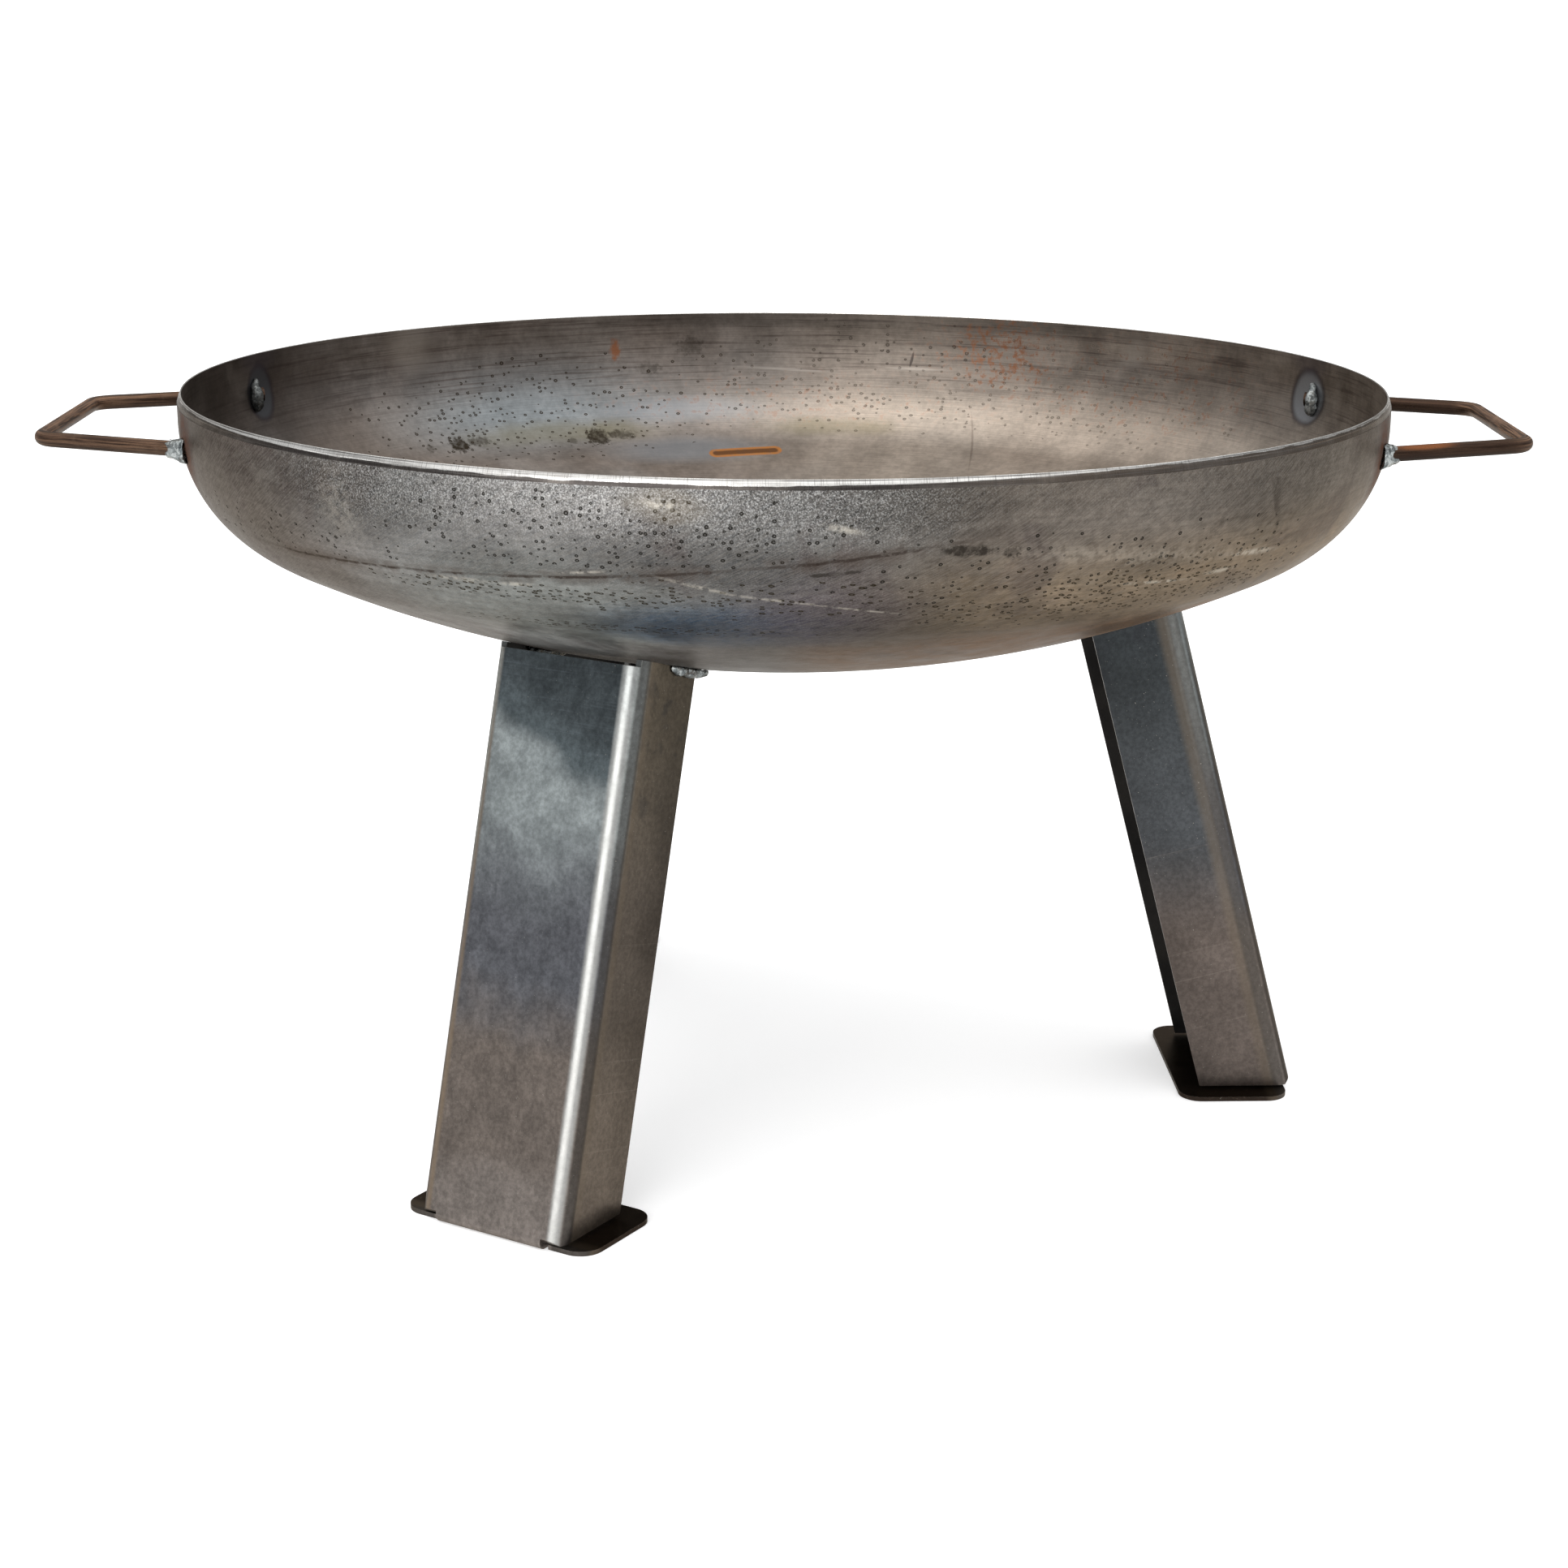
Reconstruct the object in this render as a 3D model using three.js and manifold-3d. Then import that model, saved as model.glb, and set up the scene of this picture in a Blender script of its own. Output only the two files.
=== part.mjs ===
// Coal forge: a shallow dished steel fire bowl on three bent-sheet legs, with two bent-rod handles.
// Millimetres, +Z up. The origin is on the ground under the bowl's axis; the handles point along +X and -X.
// Everything is welded together, so nothing moves. Pieces that touch are drawn GAP apart.
import * as THREE from "three";
import { mergeVertices } from "three/addons/utils/BufferGeometryUtils.js";
import Module from "manifold-3d";

const wasm = await Module();
wasm.setup();

const GAP = 0.3;

// Bowl: a pressed torispherical head with a short straight flange.
const RIM_RADIUS = 400;
const RIM_Z = 487;
const WALL = 3;
const FLANGE_HEIGHT = 17;
const KNUCKLE_RADIUS = 92;
const CROWN_RADIUS = 800;
const BEVEL_HEIGHT = 5;
const BEVEL_WIDTH = 1.8;
const ROUND_STEPS = 96;

// Handles: one bent round rod each, its two ends passing through the bowl wall.
const ROD_RADIUS = 5;
const HANDLE_Z = 458;
const HANDLE_REACH = 482;
const BAR_HALF_WIDTH = 81;
const ARM_SPLAY = THREE.MathUtils.degToRad(22);
const CORNER_RADIUS = 18;
const ROD_END_X = 371.5;
const HANDLE_AZIMUTHS = { right: 0, left: 180 };

// Legs: one sheet each, bent into a channel with its open side inwards and a foot plate turned under.
const LEGS = {
  right: { azimuth: 0.3, twist: 1.7 },
  front_left: { azimuth: -120.7, twist: -1.2 },
  rear_left: { azimuth: 124, twist: 0 },
};
const LEG_TILT = THREE.MathUtils.degToRad(14.85);
const LEG_GROUND_RADIUS = 355;
const SHEET = 3;
const CHANNEL_WIDTH = 109;
const CHANNEL_DEPTH = 62.5;
const CHANNEL_BEND = 10.4;
const WEB_LENGTH = 361;
const FLANGE_FOOT_Z = 4.6;
const FOOT_INNER_RADIUS = 274;
const FOOT_WIDTH = 144;
const FOOT_CORNER = 15;
const FOOT_BEND = 5;
const TONGUE_WIDTH = 80;
const RELIEF_WIDTH = 2.6;
const SLANT_WIDTH = 16.5;

// Welds: a cone round each arm outside the wall, a ring inside it, and two beads under the bowl on each leg.
const CONE_LENGTH = 17;
const CONE_TIP = 0.8;
const CONE_TOE = 3.6;
const RING_RADIUS = 8.2;
const RING_THICKNESS = 4;
const BEAD_RADIUS = 4.4;
const BEAD_LENGTH = 34;
const OUTER_BEAD_START = 193;
const INNER_BEAD_START = 197;

const STEEL = { bowl: 0x6f6a66, leg: 0x5c5b5d, rod: 0x6b4a36, weld: 0x9aa3a8 };

function toSolid(geometry) {
  const bare = new THREE.BufferGeometry();
  const source = geometry.index ? geometry.toNonIndexed() : geometry;
  bare.setAttribute("position", source.getAttribute("position"));
  const merged = mergeVertices(bare, 1e-4);
  const vertProperties = new Float32Array(merged.attributes.position.array);
  const triVerts = new Uint32Array(merged.index.array);
  return new wasm.Manifold(new wasm.Mesh({ numProp: 3, vertProperties, triVerts }));
}

function toGeometry(solid) {
  const { numProp, numVert, vertProperties, triVerts } = solid.getMesh();
  const points = new Float32Array(numVert * 3);
  for (let i = 0; i < numVert; i++) points.set(vertProperties.subarray(i * numProp, i * numProp + 3), i * 3);
  const geometry = new THREE.BufferGeometry();
  geometry.setAttribute("position", new THREE.BufferAttribute(points, 3));
  geometry.setIndex(new THREE.BufferAttribute(triVerts, 1));
  const flat = geometry.toNonIndexed();
  flat.computeVertexNormals();
  return flat;
}

function namedMesh(name, solid, color, roughness) {
  const material = new THREE.MeshStandardMaterial({ color, roughness, metalness: 0.9 });
  const mesh = new THREE.Mesh(toGeometry(solid), material);
  mesh.name = name;
  return mesh;
}

// Half-profile of the dish from its lowest point up to the flange, moved outwards by `offset`.
function dishProfile(offset) {
  const kneeX = RIM_RADIUS - KNUCKLE_RADIUS;
  const kneeZ = RIM_Z - FLANGE_HEIGHT;
  const crownZ = kneeZ + Math.sqrt((CROWN_RADIUS - KNUCKLE_RADIUS) ** 2 - kneeX ** 2);
  const meet = Math.atan2(kneeZ - crownZ, kneeX);
  const points = [];
  for (let i = 0; i <= 8; i++) {
    const a = THREE.MathUtils.lerp(-Math.PI / 2, meet, i / 8);
    const radius = CROWN_RADIUS + offset;
    points.push([radius * Math.cos(a), crownZ + radius * Math.sin(a)]);
  }
  for (let i = 1; i <= 9; i++) {
    const a = THREE.MathUtils.lerp(meet, 0, i / 9);
    const radius = KNUCKLE_RADIUS + offset;
    points.push([kneeX + radius * Math.cos(a), kneeZ + radius * Math.sin(a)]);
  }
  points[0][0] = 0;
  return points.map(([r, z]) => new THREE.Vector2(r, z));
}

// The solid inside the dish surface moved outwards by `offset`, closed at height `top`.
function dishSolid(offset, top, bevelled = false) {
  const profile = dishProfile(offset);
  const radius = RIM_RADIUS + offset;
  if (bevelled) profile.push(new THREE.Vector2(radius, top - BEVEL_HEIGHT));
  profile.push(new THREE.Vector2(bevelled ? radius - BEVEL_WIDTH : radius, top), new THREE.Vector2(0, top));
  return toSolid(new THREE.LatheGeometry(profile, ROUND_STEPS).rotateX(Math.PI / 2));
}

// A round rod along a path that stays in one horizontal plane.
function rodSolid(path, radius, sides = 20) {
  const rings = path.map((point, i) => {
    const before = path[Math.max(0, i - 1)];
    const after = path[Math.min(path.length - 1, i + 1)];
    const along = after.clone().sub(before).normalize();
    const side = new THREE.Vector3(along.y, -along.x, 0);
    return Array.from({ length: sides }, (_, k) => {
      const a = (2 * Math.PI * k) / sides;
      const rise = new THREE.Vector3(0, 0, radius * Math.sin(a));
      return point.clone().addScaledVector(side, radius * Math.cos(a)).add(rise);
    });
  });
  const corners = [];
  for (let i = 0; i + 1 < rings.length; i++) {
    for (let k = 0; k < sides; k++) {
      const n = (k + 1) % sides;
      corners.push(rings[i][k], rings[i + 1][n], rings[i][n], rings[i][k], rings[i + 1][k], rings[i + 1][n]);
    }
  }
  const last = rings.length - 1;
  for (let k = 1; k + 1 < sides; k++) {
    corners.push(rings[0][0], rings[0][k], rings[0][k + 1]);
    corners.push(rings[last][0], rings[last][k + 1], rings[last][k]);
  }
  return toSolid(new THREE.BufferGeometry().setFromPoints(corners));
}

// Centre line of the +X handle, from the end at -Y round to the end at +Y.
function handlePath() {
  const tangent = CORNER_RADIUS * Math.tan((Math.PI / 2 - ARM_SPLAY) / 2);
  const centreX = HANDLE_REACH - CORNER_RADIUS;
  const centreY = BAR_HALF_WIDTH - tangent;
  const endY = BAR_HALF_WIDTH + (HANDLE_REACH - ROD_END_X) * Math.tan(ARM_SPLAY);
  const half = [new THREE.Vector3(ROD_END_X, endY, HANDLE_Z)];
  for (let i = 0; i <= 8; i++) {
    const a = THREE.MathUtils.lerp(Math.PI / 2 - ARM_SPLAY, 0, i / 8);
    const x = centreX + CORNER_RADIUS * Math.cos(a);
    half.push(new THREE.Vector3(x, centreY + CORNER_RADIUS * Math.sin(a), HANDLE_Z));
  }
  const mirrored = half.map((p) => new THREE.Vector3(p.x, -p.y, p.z));
  return [...mirrored, ...half.reverse()];
}

const turned = (solid, degrees) => solid.rotate([0, 0, degrees]);

// Moves a piece of the leg at azimuth 0 to its own place; `twist` turns it about the outer face of its foot.
function placedLeg(solid, { azimuth, twist }) {
  const about = [LEG_GROUND_RADIUS, 0, 0];
  return turned(turned(solid.translate([-about[0], 0, 0]), twist).translate(about), azimuth);
}

function handleSolid(azimuth, radius = ROD_RADIUS) {
  return turned(rodSolid(handlePath(), radius), azimuth);
}

// Where an arm of the +X handle crosses the wall at radius `radius`; `sign` picks the +Y or -Y arm.
function armCrossing(radius, sign) {
  const slope = Math.tan(ARM_SPLAY);
  const offset = BAR_HALF_WIDTH + slope * HANDLE_REACH;
  const a = 1 + slope * slope;
  const root = Math.sqrt((slope * offset) ** 2 - a * (offset ** 2 - radius ** 2));
  const x = (slope * offset + root) / a;
  return new THREE.Vector3(x, sign * (offset - slope * x), HANDLE_Z);
}

// Turns geometry whose axis is +Y so that the axis runs outwards along a handle arm, and moves it to `at`.
function alongArm(geometry, at, sign) {
  const outwards = new THREE.Vector3(Math.cos(ARM_SPLAY), -sign * Math.sin(ARM_SPLAY), 0);
  const turn = new THREE.Quaternion().setFromUnitVectors(new THREE.Vector3(0, 1, 0), outwards);
  return geometry.applyQuaternion(turn).translate(at.x, at.y, at.z);
}

// The fillet weld where an arm meets the outside of the wall: a skewed, lumpy cone round the rod.
function outerWeld(sign, azimuth, rods, dish) {
  const cone = new THREE.CylinderGeometry(ROD_RADIUS + CONE_TIP, ROD_RADIUS + CONE_TOE, CONE_LENGTH, 20, 5);
  const position = cone.getAttribute("position");
  for (let i = 0; i < position.count; i++) {
    const p = new THREE.Vector3().fromBufferAttribute(position, i);
    const around = Math.atan2(p.z, p.x);
    const sag = 0.5 - p.y / CONE_LENGTH;
    const swell = 1 + 0.07 * Math.sin(3 * around + sign) * sag + 0.04 * Math.sin(5 * around + 2 * sign);
    position.setXYZ(i, p.x * swell, p.y, p.z * swell);
  }
  const at = armCrossing(RIM_RADIUS, sign).add(new THREE.Vector3(3.5, -sign * 1.4, -0.6));
  return turned(toSolid(alongArm(cone, at, sign)), azimuth).subtract(rods).subtract(dish);
}

// The ring of weld round the end of the rod on the inside of the wall, thicker on two sides.
function innerWeld(sign, azimuth, rods, cavity) {
  const ring = new THREE.TorusGeometry(RING_RADIUS, RING_THICKNESS, 10, 24).rotateX(Math.PI / 2);
  const position = ring.getAttribute("position");
  for (let i = 0; i < position.count; i++) {
    const p = new THREE.Vector3().fromBufferAttribute(position, i);
    const around = Math.atan2(p.z, p.x);
    const core = new THREE.Vector3(Math.cos(around), 0, Math.sin(around)).multiplyScalar(RING_RADIUS);
    const swell = 1 + 0.22 * Math.cos(2 * around + 1.1 * sign) + 0.1 * Math.sin(5 * around);
    p.sub(core).multiplyScalar(swell).add(core);
    position.setXYZ(i, p.x, p.y, p.z);
  }
  const at = armCrossing(RIM_RADIUS - WALL, sign);
  return turned(toSolid(alongArm(ring, at, sign)), azimuth).intersect(cavity).subtract(rods);
}

// Rounded rectangle across X and Y, centred on the origin.
function roundedRectangle(length, width, corner) {
  const x = length / 2 - corner;
  const y = width / 2 - corner;
  const shape = new THREE.Shape();
  shape.absarc(x, y, corner, 0, Math.PI / 2);
  shape.absarc(-x, y, corner, Math.PI / 2, Math.PI);
  shape.absarc(-x, -y, corner, Math.PI, 1.5 * Math.PI);
  shape.absarc(x, -y, corner, 1.5 * Math.PI, 2 * Math.PI);
  return shape;
}

function extruded(shape, depth, curveSegments = 8) {
  return new THREE.ExtrudeGeometry(shape, { depth, bevelEnabled: false, curveSegments });
}

// Shape drawn as (radius, height), extruded along Y and centred on Y = 0.
function acrossLeg(shape, width) {
  return extruded(shape, width).rotateX(Math.PI / 2).translate(0, width / 2, 0);
}

// Section of the channel: X across it, Y inwards from the outer face of its web.
function channelShape() {
  const x = CHANNEL_WIDTH / 2;
  const bend = CHANNEL_BEND;
  const shape = new THREE.Shape();
  shape.moveTo(-x, CHANNEL_DEPTH);
  shape.lineTo(-x, bend);
  shape.absarc(bend - x, bend, bend, Math.PI, 1.5 * Math.PI);
  shape.absarc(x - bend, bend, bend, 1.5 * Math.PI, 2 * Math.PI);
  shape.lineTo(x, CHANNEL_DEPTH);
  shape.lineTo(x - SHEET, CHANNEL_DEPTH);
  shape.absarc(x - bend, bend, bend - SHEET, 0, -Math.PI / 2, true);
  shape.absarc(bend - x, bend, bend - SHEET, -Math.PI / 2, -Math.PI, true);
  shape.lineTo(SHEET - x, CHANNEL_DEPTH);
  return shape;
}

// Places geometry drawn in the channel's own axes (across, inwards, up the leg) on the leg at azimuth 0.
function ontoLeg(geometry) {
  const across = new THREE.Vector3(0, 1, 0);
  const inwards = new THREE.Vector3(-Math.cos(LEG_TILT), 0, -Math.sin(LEG_TILT));
  const upwards = new THREE.Vector3(-Math.sin(LEG_TILT), 0, Math.cos(LEG_TILT));
  const matrix = new THREE.Matrix4().makeBasis(across, inwards, upwards);
  return geometry.applyMatrix4(matrix).translate(LEG_GROUND_RADIUS, 0, 0);
}

// The channel, cut off above the foot plate; its bends are cut away at a slant beside the tongue.
function channelSolid() {
  const channel = toSolid(ontoLeg(extruded(channelShape(), 470).translate(0, 0, -30)));
  const foot = toSolid(new THREE.BoxGeometry(400, 200, 100).translate(300, 0, FLANGE_FOOT_Z - 50));
  const slant = new THREE.Shape();
  slant.moveTo(LEG_GROUND_RADIUS + 10 - SLANT_WIDTH, FLANGE_FOOT_Z - 1);
  slant.lineTo(LEG_GROUND_RADIUS + 10, FLANGE_FOOT_Z - 1);
  slant.lineTo(LEG_GROUND_RADIUS + 10, FLANGE_FOOT_Z - 1 + SLANT_WIDTH);
  const web = ontoLeg(new THREE.BoxGeometry(140, 3 * SHEET, 100).translate(0, 0, WEB_LENGTH + 50));
  return channel.subtract(foot).subtract(toSolid(acrossLeg(slant, 200))).subtract(toSolid(web));
}

// The middle of the web, carried down and turned under into the foot plate.
function tongueShape() {
  const inner = FOOT_BEND - SHEET;
  const reach = FOOT_BEND * Math.tan((Math.PI / 2 + LEG_TILT) / 2);
  const centreX = LEG_GROUND_RADIUS - reach;
  const upX = -Math.sin(LEG_TILT);
  const upZ = Math.cos(LEG_TILT);
  const shape = new THREE.Shape();
  shape.moveTo(centreX - 20, 0);
  shape.absarc(centreX, FOOT_BEND, FOOT_BEND, -Math.PI / 2, LEG_TILT);
  shape.lineTo(LEG_GROUND_RADIUS + upX * 30, upZ * 30);
  shape.lineTo(LEG_GROUND_RADIUS + upX * 30 - upZ * SHEET, upZ * 30 + upX * SHEET);
  shape.absarc(centreX, FOOT_BEND, inner, LEG_TILT, -Math.PI / 2, true);
  shape.lineTo(centreX - 20, SHEET);
  return shape;
}

function footSolid() {
  const outer = LEG_GROUND_RADIUS - FOOT_BEND * Math.tan((Math.PI / 2 + LEG_TILT) / 2);
  const length = outer - FOOT_INNER_RADIUS;
  const middle = (outer + FOOT_INNER_RADIUS) / 2;
  const plate = extruded(roundedRectangle(length, FOOT_WIDTH, FOOT_CORNER), SHEET).translate(middle, 0, 0);
  const slots = [-1, 1].map((side) => {
    const y = side * (TONGUE_WIDTH + RELIEF_WIDTH) / 2;
    return toSolid(new THREE.BoxGeometry(16, RELIEF_WIDTH, 20).translate(outer, y, 0));
  });
  const tongue = toSolid(acrossLeg(tongueShape(), TONGUE_WIDTH));
  return toSolid(plate).subtract(slots[0]).subtract(slots[1]).add(tongue);
}

function legSolid(place, dish) {
  return placedLeg(channelSolid().add(footSolid()), place).subtract(dish);
}

// A bead of weld under the bowl along a flange of the leg at azimuth 0. `y` is the flange face it lies on,
// and `side` is the direction, +1 or -1, in which it lies from that face.
function beadSolid(y, side, start) {
  const steps = 7;
  const balls = Array.from({ length: steps }, (_, i) => {
    const x = start + (BEAD_LENGTH * i) / (steps - 1);
    const z = RIM_Z - FLANGE_HEIGHT + dishHeight(Math.hypot(x, y)) - 0.8;
    const radius = BEAD_RADIUS + 0.7 * Math.sin(2.4 * i + 1) - (i === 0 || i === steps - 1 ? 2 : 0);
    return toSolid(new THREE.IcosahedronGeometry(radius, 2).translate(x, y + side * 0.6, z));
  });
  const links = balls.slice(1).map((ball, i) => wasm.Manifold.hull([balls[i], ball]));
  const face = new THREE.BoxGeometry(400, 40, 400).translate(start, y + side * (20 + GAP), RIM_Z - 150);
  return wasm.Manifold.union(links).intersect(toSolid(face));
}

// Height of the crown's outer surface at `radius`, below the top of the knuckle.
function dishHeight(radius) {
  const rise = Math.sqrt((CROWN_RADIUS - KNUCKLE_RADIUS) ** 2 - (RIM_RADIUS - KNUCKLE_RADIUS) ** 2);
  return rise - Math.sqrt(CROWN_RADIUS ** 2 - radius ** 2);
}

function legWelds(place, dish) {
  const x = CHANNEL_WIDTH / 2;
  const beads = [beadSolid(x, 1, OUTER_BEAD_START), beadSolid(SHEET - x, 1, INNER_BEAD_START)];
  return beads.map((bead) => placedLeg(bead, place).subtract(dish));
}

function buildForge() {
  const group = new THREE.Group();
  const dish = dishSolid(GAP, RIM_Z + 20);
  const cavity = dishSolid(-WALL - GAP, RIM_Z + 20);
  let bowl = dishSolid(0, RIM_Z, true).subtract(dishSolid(-WALL, RIM_Z + 20));
  for (const [side, azimuth] of Object.entries(HANDLE_AZIMUTHS)) {
    const rods = handleSolid(azimuth, ROD_RADIUS + GAP);
    bowl = bowl.subtract(rods);
    group.add(namedMesh(`handle_${side}`, handleSolid(azimuth), STEEL.rod, 0.6));
    for (const sign of [-1, 1]) {
      const place = sign * (side === "right" ? 1 : -1) < 0 ? "front" : "rear";
      const tag = `handle_${side}_${place}`;
      group.add(namedMesh(`${tag}_weld_outer`, outerWeld(sign, azimuth, rods, dish), STEEL.weld, 0.35));
      group.add(namedMesh(`${tag}_weld_inner`, innerWeld(sign, azimuth, rods, cavity), STEEL.weld, 0.35));
    }
  }
  for (const [side, place] of Object.entries(LEGS)) {
    group.add(namedMesh(`leg_${side}`, legSolid(place, dish), STEEL.leg, 0.45));
    legWelds(place, dish).forEach((bead, i) => {
      group.add(namedMesh(`leg_${side}_weld_${i ? "inner" : "outer"}`, bead, STEEL.weld, 0.35));
    });
  }
  group.add(namedMesh("bowl", bowl, STEEL.bowl, 0.45));
  return group;
}

export default buildForge();
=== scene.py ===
"""Looks for the coal forge: a dished steel fire bowl on three bent-sheet legs, with two bent-rod handles.

Everything is in metres, in the frame of the CAD model: +Z up, origin on the ground under the bowl's axis.
The bowl, the legs, the handles and the welds are detailed meshes that stand for the plain CAD nodes.
"""

import math

import bmesh
import bpy
import numpy as np
from mathutils import Matrix, Vector, noise
from mathutils.bvhtree import BVHTree


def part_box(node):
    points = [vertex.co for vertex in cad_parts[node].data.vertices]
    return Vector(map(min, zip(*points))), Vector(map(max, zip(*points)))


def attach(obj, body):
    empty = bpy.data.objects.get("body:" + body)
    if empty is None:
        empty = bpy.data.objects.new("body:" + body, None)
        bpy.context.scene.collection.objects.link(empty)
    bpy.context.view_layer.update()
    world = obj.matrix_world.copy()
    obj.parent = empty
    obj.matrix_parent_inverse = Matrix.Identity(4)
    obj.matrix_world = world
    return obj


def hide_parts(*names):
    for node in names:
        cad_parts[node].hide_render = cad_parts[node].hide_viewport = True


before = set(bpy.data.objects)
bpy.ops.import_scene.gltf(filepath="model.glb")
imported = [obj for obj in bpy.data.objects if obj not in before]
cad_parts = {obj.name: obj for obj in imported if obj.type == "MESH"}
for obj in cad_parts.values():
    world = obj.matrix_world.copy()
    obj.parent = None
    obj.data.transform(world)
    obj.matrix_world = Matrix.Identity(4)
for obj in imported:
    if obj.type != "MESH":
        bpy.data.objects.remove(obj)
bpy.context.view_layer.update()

# Sizes shared with the CAD model, in metres.
BOWL_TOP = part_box("bowl")[1]
RIM_RADIUS, RIM_Z = BOWL_TOP.x, BOWL_TOP.z
WALL = 0.003
FLANGE_HEIGHT = 0.017
KNUCKLE_RADIUS = 0.092
CROWN_RADIUS = 0.800
HANDLE_Z = 0.458
HANDLE_REACH = 0.482
ROD_RADIUS = 0.005
ROD_END_X = 0.3715
BAR_HALF_WIDTH = 0.081
ARM_SPLAY = math.radians(22)
CORNER_RADIUS = 0.018
LEG_AZIMUTHS = {"right": 0.3, "front_left": -120.7, "rear_left": 124.0}
LEG_TILT = math.radians(14.85)
LEG_GROUND_RADIUS = 0.355

# How finely the meshes are cut.
BOWL_SEGMENTS = 320
CROWN_STEPS, KNUCKLE_STEPS = 40, 26
ROD_SIDES = 40
ARM_STEPS, CORNER_STEPS, BAR_STEPS = 12, 14, 8
WELD_VOXEL = 0.00055

# How uneven the steel is, and how much its cut edges are eased.
BOWL_SWELL, RIM_WEAR, RIM_DROP = 0.00022, 0.00010, 0.0005
ROD_LUMP = 0.02
WELD_LUMP, WELD_MELT_STEPS = 0.0007, 6
SHEET_EDGE = 0.0006

FLOOR_SIZE, FLOOR_CELLS, FLOOR_Z = 80, 60, -0.0002

CAMERA_PLACE = (0.0, -1.997, 0.758)
CAMERA_PAN, CAMERA_PITCH, CAMERA_ROLL = math.radians(0.03), math.radians(15.45), math.radians(0.26)
CAMERA_LENS, CAMERA_SENSOR, CAMERA_RANGE = 68.4, 36, 400

UP = Vector((0, 0, 1))
# Reflections seen edge on are dimmer and warmer than those of clean metal.
GRAZING_TINT = (0.55, 0.52, 0.48, 1.0)


def tone(red, green, blue):
    """A linear colour from the 0 to 255 values that it shows on a screen."""
    linear = (((c / 255 + 0.055) / 1.055) ** 2.4 for c in (red, green, blue))
    return (*linear, 1.0)


def along_rim(azimuth):
    """The length of the rim from +X to an azimuth in degrees."""
    return math.radians(azimuth) * RIM_RADIUS


# ---------------------------------------------------------------- shader graphs


def mark_group():
    """A node group: the mask of one ragged oval mark on a surface with coordinates U and V in metres."""
    tree = bpy.data.node_groups.new("mark", "ShaderNodeTree")
    for name in ("U", "V", "Noise", "U0", "V0", "Length", "Height", "Cos", "Sin", "Ragged", "Soft"):
        tree.interface.new_socket(name, in_out="INPUT", socket_type="NodeSocketFloat")
    tree.interface.new_socket("Mask", in_out="OUTPUT", socket_type="NodeSocketFloat")
    given = tree.nodes.new("NodeGroupInput").outputs
    result = tree.nodes.new("NodeGroupOutput")

    def calc(operation, *values):
        node = tree.nodes.new("ShaderNodeMath")
        node.operation = operation
        for socket, value in zip(node.inputs, values):
            if isinstance(value, (int, float)):
                socket.default_value = value
            else:
                tree.links.new(value, socket)
        return node.outputs[0]

    du = calc("SUBTRACT", given["U"], given["U0"])
    dv = calc("SUBTRACT", given["V"], given["V0"])
    along = calc("ADD", calc("MULTIPLY", du, given["Cos"]), calc("MULTIPLY", dv, given["Sin"]))
    across = calc("SUBTRACT", calc("MULTIPLY", dv, given["Cos"]), calc("MULTIPLY", du, given["Sin"]))
    along = calc("DIVIDE", along, given["Length"])
    across = calc("DIVIDE", across, given["Height"])
    away = calc("SQRT", calc("ADD", calc("MULTIPLY", along, along), calc("MULTIPLY", across, across)))
    shake = calc("MULTIPLY", calc("SUBTRACT", given["Noise"], 0.5), given["Ragged"])
    reach = tree.nodes.new("ShaderNodeMapRange")
    reach.interpolation_type = "SMOOTHSTEP"
    tree.links.new(calc("ADD", away, shake), reach.inputs["Value"])
    tree.links.new(calc("ADD", 1.0, given["Soft"]), reach.inputs["From Min"])
    tree.links.new(calc("SUBTRACT", 1.0, given["Soft"]), reach.inputs["From Max"])
    tree.links.new(reach.outputs[0], result.inputs["Mask"])
    return tree


MARK = mark_group()


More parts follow.
